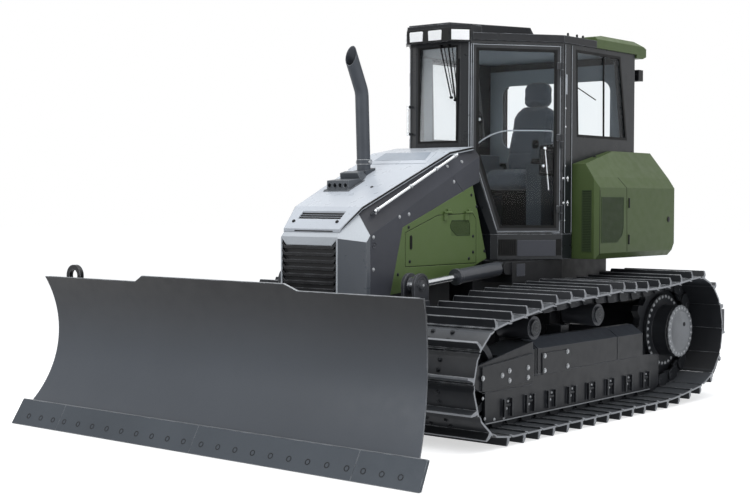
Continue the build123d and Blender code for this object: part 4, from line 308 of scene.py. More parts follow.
def add_loft(shape, rows, capped=True, worn=()):
    """Skin over rows of as many points each, closed at both ends.

    The sides whose numbers are listed, and both ends if "ends" is, get the worn finish."""
    rings = [[shape.verts.new(point) for point in row] for row in rows]
    count = len(rings[0])
    for lower, upper in zip(rings, rings[1:]):
        for number in range(count):
            after = (number + 1) % count
            side = shape.faces.new((lower[number], lower[after], upper[after], upper[number]))
            side.material_index = int(number in worn)
    if capped:
        for ring in (rings[0][::-1], rings[-1]):
            shape.faces.new(ring).material_index = int("ends" in worn)


def add_prism(shape, corners, low, high, worn=()):
    """Straight solid: an outline of points, carried across the machine, by distances in metres."""
    rows = [[corner + Vector((0, reach, 0)) for corner in corners] for reach in (low, high)]
    add_loft(shape, rows, worn=worn)


def add_turned(shape, centre, axis, profile, sides=24, capped=True):
    """Turned solid: each row of its profile is a distance along the axis and a radius, in metres."""
    axis = Vector(axis).normalized()
    first = axis.orthogonal().normalized()
    second = axis.cross(first)
    rows = []
    for reach, radius in profile:
        angles = [2 * math.pi * number / sides for number in range(sides)]
        arms = [(first * math.cos(angle) + second * math.sin(angle)) * radius for angle in angles]
        rows.append([centre + axis * reach + arm for arm in arms])
    add_loft(shape, rows, capped)


blade_paint = coated(
    "blade_paint", "474c54", 0.36, wear=0.8, dust=0.02, bare="a9adb2", gloss=0.3,
    cloud_scale=0.8, edge_radius=0.008,
)
# painted shade: the blade's colour darkens smoothly from 0.4 m up to 1.15 m, under its curl
painted_shade_by_height(blade_paint, "494e55", "17181b", 0.4, 1.15)
edge_steel = coated(
    "edge_steel", "474d54", 0.4, wear=0.9, dust=0.04, bare="a3a8ad", metallic=0.2,
    cloud_scale=1.2, edge_radius=0.008,
)
bright_steel = coated(
    "bright_steel", "a4a7ab", 0.36, wear=0.4, dust=0.06, bare="c6c9cc", metallic=0.5,
    edge_radius=0.003,
)
bolt_steel = coated(
    "bolt_steel", "b2b5b8", 0.35, wear=0.5, dust=0.03, bare="d4d6d8", metallic=0.6,
    edge_radius=0.002,
)
dark_bolt = coated(
    "dark_bolt", "222428", 0.4, wear=0.8, dust=0.05, bare="6c7075", metallic=0.4,
    edge_radius=0.002,
)
dress(blade_paint, "blade")
dress(edge_steel, "cutting_edges")
edge_slope = math.radians(60)
edge_out = Vector((math.sin(edge_slope), 0, math.cos(edge_slope)))
edge_down = Vector((math.cos(edge_slope), 0, -math.sin(edge_slope)))
edge_head = spot(4355, 0, 4) - edge_down * 0.1986
bolt_line = edge_head + edge_down * 0.125 + edge_out * 0.0002
countersunk = ((-0.004, 0.02), (0.0014, 0.02), (0.0014, 0.014), (-0.003, 0.0115))
plow_bolts, blade_seams = bmesh.new(), bmesh.new()
for side in (1, -1):
    for across in (1461, 1602, 1742, *(84 + number * 156 for number in range(9))):
        head = bolt_line + Vector((0, side * across / 1000, 0))
        add_turned(plow_bolts, head, edge_out, countersunk, 20)
add_piece("plow_bolts", plow_bolts, dark_bolt, "blade")
# weld along the head of the cutting edge, and another along the blade's upper edge
weld_foot = edge_head - edge_down * 0.001
weld_section = ((0, 0), (0.022, 0), (0.021, 0.006), (0.006, 0.005))
weld = [weld_foot - edge_out * out - edge_down * up for out, up in weld_section]
add_prism(blade_seams, weld, -1.888, 1.888)
top_at, top_up, crown_lean = 4141.5, 1088, 0.56
crown = ((-1730, top_up), (-766, top_up), (-671, 1131), (671, 1131), (766, top_up), (1730, top_up))
crown_section = ((-1, -0.5), (-21, -0.5), (-19, 2.4), (-3, 2.4))
for ends in zip(crown, crown[1:]):
    rows = []
    for across, up in ends:
        front = top_at + (up - top_up) * crown_lean
        rows.append([spot(front + back, across, up + rise) for back, rise in crown_section])
    add_loft(blade_seams, rows)
add_piece("blade_seams", blade_seams, bright_steel, "blade")

# Tracks: forged links on pins and bushings, each with a wide rolled shoe of one grouser,
# held by four bolts. The steel is dark, and polished at its ends and where it meets the
# ground. Each shoe lies on its own link of the chain that runs round the wheels.
both_sides = ((1, "left"), (-1, "right"))
shoe_count, first_pin = 42, 0.35
track_middle, shoe_half, rail_across, leaf_half = 1.076, 0.381, 0.082, 0.0098
# each wheel: its place, height, the radius of the pin line, and the sag of the run after it
wheels = (
    (440, 271, 146, 0),
    (2815, 450, 325, 2),
    (2128, 744, 136, 6),
    (1235, 784, 136, 34),
    (0, 575, 398, 0),
)


def tangent_of(first, second):
    """Direction of the outward normal on the run from one wheel to the next."""
    along, rise = second[0] - first[0], second[1] - first[1]
    return math.atan2(rise, along) - math.acos((first[2] - second[2]) / math.hypot(along, rise))


def rim_point(wheel, angle):
    """Place and height of a point on a wheel's pin line."""
    return wheel[0] + wheel[2] * math.cos(angle), wheel[1] + wheel[2] * math.sin(angle)


def chain_line():
    """Closely spaced points of the pin line round all the wheels."""
    points = []
    for index, wheel in enumerate(wheels):
        after = wheels[(index + 1) % len(wheels)]
        angle_in, angle_out = tangent_of(wheels[index - 1], wheel), tangent_of(wheel, after)
        arc = (angle_out - angle_in) % (2 * math.pi)
        steps = max(1, int(arc / math.radians(3)))
        for step in range(steps + 1):
            points.append(rim_point(wheel, angle_in + arc * step / steps))
        start = points[-1]
        end = rim_point(after, angle_out)
        for step in range(1, 16):
            part = step / 16
            dip = wheel[3] * 4 * part * (1 - part)
            points.append((
                start[0] + (end[0] - start[0]) * part - dip * math.cos(angle_out),
                start[1] + (end[1] - start[1]) * part - dip * math.sin(angle_out),
            ))
    return points


def chain_pins():
    """Pin places at equal distances along the chain line."""
    closed = chain_line()
    closed.append(closed[0])
    reach = [0]
    for first, second in zip(closed, closed[1:]):
        reach.append(reach[-1] + math.dist(first, second))
    pins, place = [], 0
    for number in range(shoe_count):
        wanted = (number + first_pin) * reach[-1] / shoe_count
        while reach[place + 1] < wanted:
            place += 1
        part = (wanted - reach[place]) / (reach[place + 1] - reach[place])
        pins.append(tuple(a + (b - a) * part for a, b in zip(closed[place], closed[place + 1])))
    return pins


def painted_light_by_facing(finish, paint, way, low, high):
    """Painted light or shade: blends another colour into a finish where its surface faces along a
    line, either way.
    """
    tree = finish.node_tree
    facing = add_node(tree, "TexCoord").outputs["Normal"]
    either_way = add_node(tree, "VectorMath", {0: facing}, operation="ABSOLUTE").outputs[0]
    meet = add_node(tree, "VectorMath", {0: either_way, 1: way}, operation="DOT_PRODUCT")
    share = {"Value": meet.outputs["Value"], "From Min": low, "From Max": high}
    share = add_node(tree, "MapRange", share).outputs["Result"]
    aging = tree.nodes["aging"]
    own = aging.inputs["Paint"].default_value
    feed(tree, aging, {"Paint": mixed(tree, share, own, tone(paint))})


def add_bolt(shape, centre, axis, radius, height=None):
    """Hexagon bolt head on its washer, standing on a face."""
    height = height or radius * 0.7
    add_turned(shape, centre, axis, ((-0.001, radius * 1.35), (height * 0.22, radius * 1.35)), 14)
    head = ((height * 0.2, radius), (height * 0.85, radius), (height, radius * 0.82))
    add_turned(shape, centre, axis, head, 6)


track_steel = coated(
    "track_steel", "2a2c30", 0.4, wear=1.0, dust=0.16, bare="b4b7bb", metallic=0.3,
    cloud_scale=3.0, edge_radius=0.007,
)
# painted highlight: the shoes' faces that look straight up or down are lighter, and their pale worn
# edges are painted highlights too
painted_light_by_facing(track_steel, "565a60", (0, 0, 1), 0.8, 0.97)
shoe_end_steel = coated(
    "shoe_end_steel", "85888d", 0.36, wear=0.8, bare="c4c7ca", metallic=0.5,
    cloud_scale=6.0, edge_radius=0.004,
)
chain_steel = coated(
    "chain_steel", "2a2c30", 0.48, wear=0.8, bare="84878c", metallic=0.35, cloud_scale=6.0,
    edge_radius=0.004,
)
# a grouser's section: step along the shoe, height above the pins, and how far its end is cut
grouser = (
    (-0.077, 0.066, 0),
    (-0.073, 0.095, 0),
    (-0.070, 0.125, 0.008),
    (-0.054, 0.125, 0.008),
    (-0.051, 0.095, 0),
    (-0.047, 0.066, 0),
)
pins = chain_pins()
for side, where in both_sides:
    middle = Vector((0, side * track_middle, 0))
    shoes, chain, shoe_bolts = bmesh.new(), bmesh.new(), bmesh.new()
    for first, second in zip(pins, pins[1:] + pins[:1]):
        start, end = spot(first[0], 0, first[1]), spot(second[0], 0, second[1])
        along = (end - start).normalized()
        out = Vector((along.z, 0, -along.x))
        centre = (start + end) / 2 + middle
        half = (end - start).length / 2

        def lie(step, rise, across=0.0):
            return centre + along * step + out * rise + Vector((0, across, 0))

        # the plate's rear edge dips into a lip that lies under the next shoe
        plate = (
            (-half + 0.001, 0.053),
            (-half + 0.001, 0.067),
            (half - 0.018, 0.067),
            (half - 0.004, 0.059),
            (half + 0.006, 0.0515),
            (half + 0.026, 0.047),
            (half + 0.026, 0.040),
            (half - 0.004, 0.045),
            (half - 0.018, 0.053),
        )
        add_prism(shoes, [lie(*corner) for corner in plate], -shoe_half, shoe_half, worn=("ends",))
        rows = []
        for way in (-1, 1):
            rows.append([lie(step, rise, way * (shoe_half - cut)) for step, rise, cut in grouser])
        add_loft(shoes, rows, worn=(2, "ends"))
        for way in (-1, 1):
            for step in (-0.012, 0.058):
                add_bolt(shoe_bolts, lie(step, 0.067, way * rail_across), out, 0.0135, 0.014)
            for shift, low, high in ((-0.010, -half - 0.030, 0.012), (0.010, -0.012, half + 0.030)):
                leaf = (
                    (low + 0.018, -0.050),
                    (low, -0.020),
                    (low, 0.022),
                    (low + 0.022, 0.053),
                    (high - 0.022, 0.053),
                    (high, 0.022),
                    (high, -0.020),
                    (high - 0.018, -0.050),
                )
                across = way * (rail_across + shift)
                corners = [lie(*corner) for corner in leaf]
                add_prism(chain, corners, across - leaf_half, across + leaf_half)
        add_turned(chain, start + middle, (0, 1, 0), ((-0.104, 0.019), (0.104, 0.019)), 14)
        add_turned(chain, start + middle, (0, 1, 0), ((-0.062, 0.029), (0.062, 0.029)), 18)
    shoe_piece = add_piece(
        where + "_track_shoes", shoes, track_steel,
        soft_edge=0.002, worn=shoe_end_steel,
    )
    add_piece(where + "_track_chain", chain, chain_steel)
    add_piece(where + "_shoe_bolts", shoe_bolts, dark_bolt)
    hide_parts(where + "_track")
dress(chain_steel, "sprockets", "idlers", "track_rollers")

# Track frames: welded box beams with bolted cover plates, a joint plate round the beam and
# roller guards. Black satin paint, with bright bolts and a worn lip along the guard's foot.
frame_paint = coated(
    "frame_paint", "212327", 0.34, wear=0.8, dust=0.05, bare="7f8287", cloud_scale=2.2
)
# painted light: the frames' faces that look up, and those that look down, are lighter, as if lit
# from above
painted_light_by_facing(frame_paint, "4c5057", (0, 0, 1), 0.3, 0.6)
hull_paint = coated(
    "hull_paint", "17181b", 0.45, wear=0.5, dust=0.04, bare="6f7277", cloud_scale=2.0
)
roller_steel = coated(
    "roller_steel", "3b3d42", 0.34, wear=0.9, bare="9a9da1", metallic=0.4, cloud_scale=8.0,
    edge_radius=0.004,
)
dress(frame_paint, "track_frames")
dress(hull_paint, "main_frame")
dress(roller_steel, "carrier_rollers")
beam_face = 1203


def on_side(side, across):
    """Places on a face that looks sideways: place ahead, height and distance out."""
    return lambda at, up, out: spot(at, side * (across + out), up)


def on_end(at, way=1):
    """Places on a face that looks ahead, or back if way is -1: across, height and distance out."""
    return lambda across, up, out: spot(at + way * out, across, up)


def oblong(first, low, last, high):
    """Outline of a rectangle between two opposite corners."""
    return [(first, low), (last, low), (last, high), (first, high)]


def add_slab(shape, outline, put, low, high):
    """Flat plate: an outline on a face, between two distances out of it in millimetres."""
    add_loft(shape, [[put(*corner, out) for corner in outline] for out in (low, high)])


def add_bolts(shape, places, put, radius, out=0):
    """Bolt heads standing on a face, or a little way out of it."""
    for place in places:
        foot = put(*place, out)
        add_bolt(shape, foot, put(*place, out + 1000) - foot, radius)


cap_groove = (
    (-0.002, 0.06),
    (0.003, 0.06),
    (0.003, 0.05),
    (0.0005, 0.048),
    (0.0005, 0.036),
    (0.004, 0.034),
    (0.004, 0.014),
    (0.008, 0.012),
)
frame_plates, frame_bolts, guard_lips = bmesh.new(), bmesh.new(), bmesh.new()
for side in (1, -1):
    beam = on_side(side, beam_face)
    cover_bolts = ((2751, 440), (2516, 438), (2426, 463), (2425, 394), (2189, 463), (2188, 392))
    add_bolts(frame_bolts, cover_bolts, beam, 0.014, 14)
    add_slab(frame_plates, ((1600, 389), (1603, 547), (1989, 550), (1987, 392)), beam, -0.2, 8)
    add_bolts(frame_bolts, ((1959, 528), (1645, 534), (1958, 420), (1643, 425)), beam, 0.014, 8)
    add_bolts(frame_bolts, ((2707, 154), (2591, 137), (2475, 133), (2732, 298)), beam, 0.009)
    # joint bands round the beam's outer half: upright, over the shoulder and up to the crest
    for at, half_run, lift in ((2040, 9, 6), (2072, 5, 4), (885, 5, 3)):
        line = [(beam_face, 392), (beam_face, 585), (1100, 655)]
        back = [(1100 - lift, 655 + lift), (beam_face + lift, 585 + lift), (beam_face + lift, 392)]
        band = [(side * across, up) for across, up in line + back]
        add_slab(frame_plates, band, on_end(at), -half_run, half_run)
    # seam strips along the beam's foot and under the front cover
    for first, last, up in ((560, 2090, 398), (2110, 2740, 330)):
        add_slab(frame_plates, oblong(first, up, last, up + 5), beam, -0.2, 2.5)
    add_slab(guard_lips, oblong(356, 114, 2704, 121), beam, -0.2, 5.5)
    # eight roller clamps along the guard
    for number in range(8):
        at = 440 + number * 2000 / 7
        add_bolts(frame_bolts, ((at - 19.2, 246), (at + 19.2, 246), (at, 196)), beam, 0.0075)
        add_slab(frame_plates, oblong(at - 34, 214, at + 34, 228), beam, -0.2, 13)
    for at, up in ((2128, 744), (1235, 784)):
        add_turned(frame_plates, spot(at, side * 1244, up), (0, side, 0), cap_groove, 28)
add_piece("frame_plates", frame_plates, frame_paint, soft_edge=0.0012)
add_piece("frame_bolts", frame_bolts, bolt_steel)
add_piece("guard_lips", guard_lips, bright_steel)

# Final drives: cast drums bolted to the sprocket by a ring of screws, each closed by a
# scalloped cap. The cap is bare machined steel, and the drum is painted black.
drum_paint = coated("drum_paint", "26282c", 0.36, wear=0.6, dust=0.05, bare="7f8287", gloss=0.35)
cap_steel = coated(
    "cap_steel", "74777b", 0.34, wear=0.9, dust=0.06, bare="a8abaf", metallic=0.5,
    cloud_scale=5.0, edge_radius=0.004,
)
dress(drum_paint, "final_drives")
drum_up, cap_radius, cap_points, lobe_depth, lobe_turns = 575, 0.2105, 120, 0.0075, 12


def spoke(angle, radius):
    """From a centre to a point on an upright circle that faces sideways."""
    return Vector((math.cos(angle), 0, math.sin(angle))) * radius


scallops = []
for number in range(cap_points):
    angle = 2 * math.pi * number / cap_points
    radius = cap_radius + lobe_depth * abs(math.sin(angle * lobe_turns))
    scallops.append(spot(0, 0, drum_up) + spoke(angle, radius))
drive_caps, drive_bolts, drive_plugs = bmesh.new(), bmesh.new(), bmesh.new()
for side in (1, -1):
    way = (0, side, 0)
    add_prism(drive_caps, scallops, side * 1.283, side * 1.2935)
    raised_ring = ((-0.001, 0.17), (0.002, 0.168), (0.002, 0.16), (0.0005, 0.157))
    add_turned(drive_caps, spot(0, side * 1293.5, drum_up), way, raised_ring, 48)
    for count, across, radius, size in ((32, 1140, 0.281, 0.011), (24, 1293, 0.193, 0.008)):
        for number in range(count):
            angle = 2 * math.pi * (number + 0.5) / count
            add_bolt(drive_bolts, spot(0, side * across, drum_up) + spoke(angle, radius), way, size)
    plug = ((-0.002, 0.017), (0.003, 0.017), (0.003, 0.011), (0.001, 0.01))
    add_turned(drive_plugs, spot(-65, side * 1295, 627), way, plug, 20)
add_piece("drive_caps", drive_caps, cap_steel, soft_edge=0.001)
add_piece("drive_bolts", drive_bolts, bolt_steel)
add_piece("drive_plugs", drive_plugs, dark_bolt)

# Push frame, swivel and cylinders: box-section arms, cast eyes and chromed rods. The lift
# cylinders' front eyes sit between stacked plates on a round pin with a bolted keeper.
arm_paint = coated(
    "arm_paint", "33353a", 0.36, wear=0.9, dust=0.07, bare="8f9297", gloss=0.35,
    cloud_scale=2.0,
)
barrel_paint = coated(
    "barrel_paint", "3d4046", 0.32, wear=0.7, dust=0.05, bare="94979c", gloss=0.5,
    cloud_scale=2.5,
)
chrome_rod = coated(
    "chrome_rod", "d0d3d6", 0.16, wear=0.1, dust=0.0, metallic=1.0, bare="e0e2e4",
    grain=0.05,
)
dress(arm_paint, "push_frame", "blade_swivel")
dress(arm_paint, "ripper_bracket", "ripper_arms", "ripper_links", "ripper_beam")
dress(barrel_paint, "lift_barrels", "left_angle_barrel", "right_angle_barrel")
dress(barrel_paint, "tilt_barrel", "ripper_barrels")
dress(chrome_rod, "lift_rods", "left_angle_rod", "right_angle_rod", "tilt_rod", "ripper_rods")
pin_at, pin_up = 2719, 1054
pin_end = ((-0.001, 0.031), (0.004, 0.031), (0.004, 0.02), (0.007, 0.018))
rib_half, rib_foot, rib_top, rib_steps = 0.003, 0.6605, 0.6645, 39
pin_plates, pin_bolts = bmesh.new(), bmesh.new()
for side in (1, -1):
    for face in (-1, 1):
        outer = side * 600 + face * 71
        add_turned(pin_plates, spot(pin_at, outer, pin_up), (0, face, 0), pin_end, 24)
        add_bolt(pin_bolts, spot(pin_at, outer + face * 6, pin_up), (0, face, 0), 0.008)
    # stiffening ribs pressed into the outer lift ear
    for radius in (0.05, 0.072):
        rows = []
        section = oblong(radius - rib_half, rib_foot, radius + rib_half, rib_top)
        for number in range(rib_steps + 1):
            angle = math.pi * number / rib_steps
            arms = [spoke(angle, reach) + Vector((0, side * out, 0)) for reach, out in section]
            rows.append([spot(pin_at, 0, pin_up) + arm for arm in arms])
        add_loft(pin_plates, rows)
add_piece("lift_pin_plates", pin_plates, arm_paint, "push_frame", soft_edge=0.001)
add_piece("lift_pin_bolts", pin_bolts, bolt_steel, "push_frame")

# Hood: pressed steel top in silver-grey paint over dark side panels, with an air slot in its
# front slope, rubber stops, and a raised panel before the cab. Bolted through its edges. The
# raised panel carries a darker grey-blue plate, painted shade for a shallow recess.
silver_paint = coated(
    "silver_paint", "b9bfc7", 0.3, wear=0.3, dust=0.02, bare="dfe2e5", gloss=0.5,
    cloud_scale=1.2, edge_radius=0.007,
)
# painted light and shade: a lighter copy of the silver paint for the nose's lit front, with its
# faces that look sideways and down made darker
nose_paint = coated(
    "nose_paint", "c0c6cc", 0.32, wear=0.4, dust=0.03, bare="d3d6d9", gloss=0.5,
    cloud_scale=1.4, edge_radius=0.007,
)
painted_light_by_facing(nose_paint, "50555c", (0, 1, -0.9), 0.35, 0.65)
side_paint = coated(
    "side_paint", "41434a", 0.42, wear=0.5, dust=0.03, bare="85888d", cloud_scale=1.4,
    edge_radius=0.006,
)
# painted shade: the side panels' faces that slope up at the shoulders are darker
painted_light_by_facing(side_paint, "2d2e33", (0, 0, 1), 0.35, 0.6)
panel_painted_shade = coated(
    "panel_painted_shade", "8f98a3", 0.34, wear=0.2, dust=0.02, bare="dfe2e5", gloss=0.5,
    cloud_scale=1.2,
)
black_rubber = coated("black_rubber", "090a0b", 0.62, wear=0.0, dust=0.03, edge_radius=0.002)
dress(silver_paint, "hood_top")
dress(nose_paint, "hood_nose")
dress(side_paint, "hood_sides")
# the hood plate's upper edge line: place, height and half width
hood_edge = ((3154, 1453, 262), (2975, 1612, 322), (2011, 2028, 384), (1712, 2075, 384))
hood_line = ((3160, 1453), (2975, 1612), (2011, 2028), (1705, 2076))
brow_out = Vector((159, 0, 185)).normalized()
slope_out = Vector((416, 0, 964)).normalized()
slot_half = 0.2045
crosswise = on_side(1, 0)


def hood_spot(at, across, rise=0.0):
    """A point on the hood plate's upper face, or a few millimetres above it."""
    for (first_at, first_z), (last_at, last_z) in zip(hood_line, hood_line[1:]):
        if at >= last_at:
            break
    run = math.dist((first_at, first_z), (last_at, last_z))
    along = ((last_at - first_at) / run, (last_z - first_z) / run)
    up = first_z + (last_z - first_z) * (first_at - at) / (first_at - last_at)
    return spot(at + along[1] * rise, across, up - along[0] * rise)


slot_guard, hood_stops, hood_panel, hood_plate, hood_seals = (bmesh.new() for number in range(5))
for first, last, depth, height in (
    (3077, 3015, -15.5, 2),
    (3068, 3061, -14, 9),
    (3050, 3043, -14, 9),
    (3032, 3025, -14, 9),
):
    bar = [hood_spot(at, 0, rise) for at, rise in oblong(first, depth, last, depth + height)]
    add_prism(slot_guard, bar, -slot_half, slot_half)
add_slab(slot_guard, oblong(3159, 1434, 3161.5, 1442), crosswise, -160, 205)
add_piece("hood_slot_guard", slot_guard, black_rubber)
for across in (-222, 196):
    stop = ((-0.001, 0.013), (0.006, 0.013), (0.009, 0.010))
    add_turned(hood_stops, hood_spot(3101, across), brow_out, stop, 18)
stop = ((-0.001, 0.012), (0.004, 0.012), (0.006, 0.009))
add_turned(hood_stops, hood_spot(2645, 138), slope_out, stop, 18)
add_piece("hood_stops", hood_stops, black_rubber)
foot = ((2226, -250), (2226, 318), (2010, 262), (2010, -250))
crown = ((2196, -225), (2196, 292), (2034, 240), (2034, -225))
rows = []
for outline, rise in ((foot, -1), (foot, 3), (crown, 13)):
    rows.append([hood_spot(at, across, rise) for at, across in outline])
add_loft(hood_panel, rows)
add_piece("hood_panel", hood_panel, silver_paint, soft_edge=0.004)
# painted shade: a darker grey-blue plate on the raised panel, for the shade of a shallow recess
add_slab(hood_plate, ((2188, -217), (2188, 283), (2042, 232), (2042, -217)), hood_spot, 12.5, 14)
add_piece("hood_plate", hood_plate, panel_painted_shade)
# dark seals between the hood plate and its shoulders
seal_section = ((-1, -2), (6, -4), (8, -14), (-1, -18))
for side in (1, -1):
    for ends in zip(hood_edge, hood_edge[1:]):
        rows = []
        for at, up, half in ends:
            rows.append([spot(at, side * (half + out), up + rise) for out, rise in seal_section])
        add_loft(hood_seals, rows)
add_piece("hood_seals", hood_seals, black_rubber)

# Hood sides and nose: panels bolted to the frame behind, each with a pressed cap, and
# chromed handrails up the shoulders on bright clamps.
dress(chrome_rod, "handrails")
panel_face = 412


def side_shoulder(at, share):
    """Across and height on the hood's shoulder: share 0 is its upper edge, 1 the crease below."""
    for first, last in zip(hood_edge, hood_edge[1:]):
        if at >= last[0]:
            break
    part = (first[0] - at) / (first[0] - last[0])
    half = first[2] + (last[2] - first[2]) * part - 20
    up = first[1] + (last[1] - first[1]) * part - 26
    crease = 1409 + 590 * (2993 - at) / 1320
    return half + (panel_face - half) * share, up + (crease - up) * share


def add_rod(shape, start, end, radius, sides=12):
    """Straight round rod between two points."""
    add_turned(shape, start, end - start, ((0, radius), ((end - start).length, radius)), sides)


pressed_cap = (
    (-0.001, 0.026),
    (0.002, 0.026),
    (0.002, 0.02),
    (0.0008, 0.018),
    (0.0008, 0.008),
    (0.003, 0.006),
)
side_bolts, side_caps, rail_clamps = bmesh.new(), bmesh.new(), bmesh.new()
for side in (1, -1):
    panel = on_side(side, panel_face)
    up_and_out = Vector((0, side * 0.86, 0.5)).normalized()
    bolt_places = ((2958, 1396), (2958, 1166), (2662, 1538), (2551, 1556), (1998, 1800))
    add_bolts(side_bolts, bolt_places, panel, 0.0105)
    for at, share in ((2047, 0.45), (1872, 0.6), (2862, 0.4)):
        across, up = side_shoulder(at, share)
        add_bolt(side_bolts, spot(at, side * across, up), up_and_out, 0.0105)
    add_turned(side_caps, panel(2946, 1338, 0), (0, side, 0), pressed_cap, 24)
    add_slab(side_caps, ((2010, 1836), (2004, 1836), (1868, 1722), (1874, 1722)), panel, -0.5, 1.2)
    start, end = spot(2903, side * 385, 1581), spot(1997, side * 432, 2002)
    way = (end - start).normalized()
    for part in (0.02, 0.42, 0.74, 0.98):
        middle = start + (end - start) * part
        add_turned(rail_clamps, middle - way * 0.011, way, ((0, 0.0165), (0.022, 0.0165)), 16)
        add_rod(rail_clamps, middle, middle - up_and_out * 0.03, 0.007)
add_piece("hood_side_bolts", side_bolts, bolt_steel)
add_piece("hood_side_caps", side_caps, side_paint)
add_piece("handrail_clamps", rail_clamps, bolt_steel)

# Grille: black pressed slats between upturned ends, welded into a frame deep in the nose.
# Behind it stands the engine, a plain iron block that shows only through the gaps.
# the slats' pale worn front edges are painted highlights as well as wear
grille_black = coated(
    "grille_black", "1c1d20", 0.34, wear=0.9, dust=0.04, bare="85888d", gloss=0.3,
    edge_radius=0.005,
)
engine_iron = coated("engine_iron", "2b2c2e", 0.6, wear=0.3, dust=0.2)
dress(grille_black, "grille")
dress(engine_iron, "engine_block")

# Green service panels: painted steel, each door with a paddle latch at its front edge, a
# fine mesh patch, black screws and a dark seal in the gap round it.
green_paint = coated(
    "green_paint", "586c3f", 0.4, wear=0.25, dust=0.02, bare="9aac80", cloud_scale=1.0,
    edge_radius=0.008,
)
green_mesh = coated(
    "green_mesh", "35442a", 0.55, wear=0.1, dust=0.02, bare="586c3f", cloud_scale=2.0
)
dress(green_paint, "side_panels", "left_engine_door", "right_engine_door")
door_outline = ((2594, 1170), (2594, 1424), (2200, 1549), (1752, 1562), (1702, 1512), (1702, 1170))
paddle = ((2536, 1308), (2536, 1392), (2527, 1399), (2518, 1392), (2518, 1308), (2527, 1301))
net = (
    (2047, 1470), (2020, 1509), (1812, 1509), (1787, 1478), (1787, 1388), (1960, 1388),
    (2038, 1440),
)


def shrunk(points, by):
    """An outline moved inward all round, for outlines listed either way round."""
    area = sum(a[0] * b[1] - b[0] * a[1] for a, b in zip(points, points[1:] + points[:1]))
    way = 1 if area > 0 else -1
    lines = []
    for first, last in zip(points, points[1:] + points[:1]):
        run = math.dist(first, last)
        normal = (-(last[1] - first[1]) / run * way, (last[0] - first[0]) / run * way)
        lines.append((normal, normal[0] * first[0] + normal[1] * first[1] + by))
    moved = []
    for (n0, d0), (n1, d1) in zip(lines[-1:] + lines[:-1], lines):
        cross = n0[0] * n1[1] - n0[1] * n1[0]
        moved.append(((d0 * n1[1] - d1 * n0[1]) / cross, (n0[0] * d1 - n1[0] * d0) / cross))
    return moved


def add_hoop(shape, outer, inner, put, low, high):
    """Flat hoop between two outlines on a face, and between two distances out of it."""
    rings = []
    for outline in (outer, inner):
        for out in (low, high):
            rings.append([shape.verts.new(put(*corner, out)) for corner in outline])
    for number in range(len(outer)):
        after = (number + 1) % len(outer)
        for first, last in ((0, 1), (1, 3), (3, 2), (2, 0)):
            near, far = rings[first], rings[last]
            shape.faces.new((near[number], near[after], far[after], far[number]))


def add_frame(shape, outline, width, put, low, high):
    """Flat frame along the inside of an outline."""
    add_hoop(shape, outline, shrunk(outline, width), put, low, high)


for side, where in both_sides:
    panel = on_side(side, panel_face)
    body = where + "_engine_door"
    seals, latch, patch, screws, panel_screws = (bmesh.new() for number in range(5))
    add_frame(seals, shrunk(door_outline, 0.2), 4.6, panel, -14, -3)
    add_piece(where + "_door_seal", seals, black_rubber)
    add_slab(latch, paddle, panel, -0.5, 2.5)
    add_frame(latch, shrunk(paddle, -4), 4, panel, -0.5, 3.5)
    add_piece(where + "_door_latch", latch, black_rubber, body)
    add_frame(patch, net, 8, panel, -0.5, 2.5)
    for number in range(30):
        at = 1794 + number * 8.4
        top = 1504 if 1816 < at < 2020 else 1478
        foot = 1392 if at < 1960 else 1392 + (at - 1960) * 0.62
        if top - foot > 10:
            add_slab(patch, oblong(at - 1.2, foot, at + 1.2, top), panel, -0.5, 1.2)
    for number in range(14):
        up = 1394 + number * 8.4
        add_slab(patch, oblong(1790, up - 1.2, 2030, up + 1.2), panel, -0.5, 0.8)
    add_piece(where + "_door_mesh", patch, green_mesh, body)
    add_bolts(screws, ((1746, 1382), (1745, 1258), (2540, 1210), (1800, 1210)), panel, 0.0095)
    add_piece(where + "_door_screws", screws, dark_bolt, body)
    screw_places = (
        (2555, 1462), (1700, 1610), (1592, 1262), (2680, 1120), (1770, 1700), (2300, 1060)
    )
    add_bolts(panel_screws, screw_places, panel, 0.0095)
    add_piece(where + "_panel_screws", panel_screws, dark_bolt)

# Exhaust and air inlet: a steel pipe in a bolted clamp, its mouth closed by a black disc of
# soot and painted shade, and a cast inlet box with four mouths on a screwed skirt, each
# mouth closed inside by a black disc of painted shade.
pipe_steel = coated(
    "pipe_steel", "4b4f55", 0.4, wear=0.4, dust=0.04, metallic=0.25, bare="9da1a6",
    cloud_scale=5.0,
)
inlet_paint = coated(
    "inlet_paint", "55595e", 0.42, wear=0.6, dust=0.05, bare="a5a8ac", metallic=0.1
)
soot_and_shade = coated("soot_and_shade", "0c0c0d", 0.8, wear=0.0, dust=0.0)
dress(pipe_steel, "exhaust")
dress(inlet_paint, "air_inlet")
pipe_lean, pipe_across = math.radians(26), -150
pipe_way = Vector((math.sin(pipe_lean), 0, math.cos(pipe_lean)))
pipe_mouth_cap, pipe_clamp, inlet_mouth_shade, inlet_skirt, duct = (bmesh.new() for number in range(5))
pipe_mouth = spot(2421, pipe_across, 2480) + pipe_way * 0.225
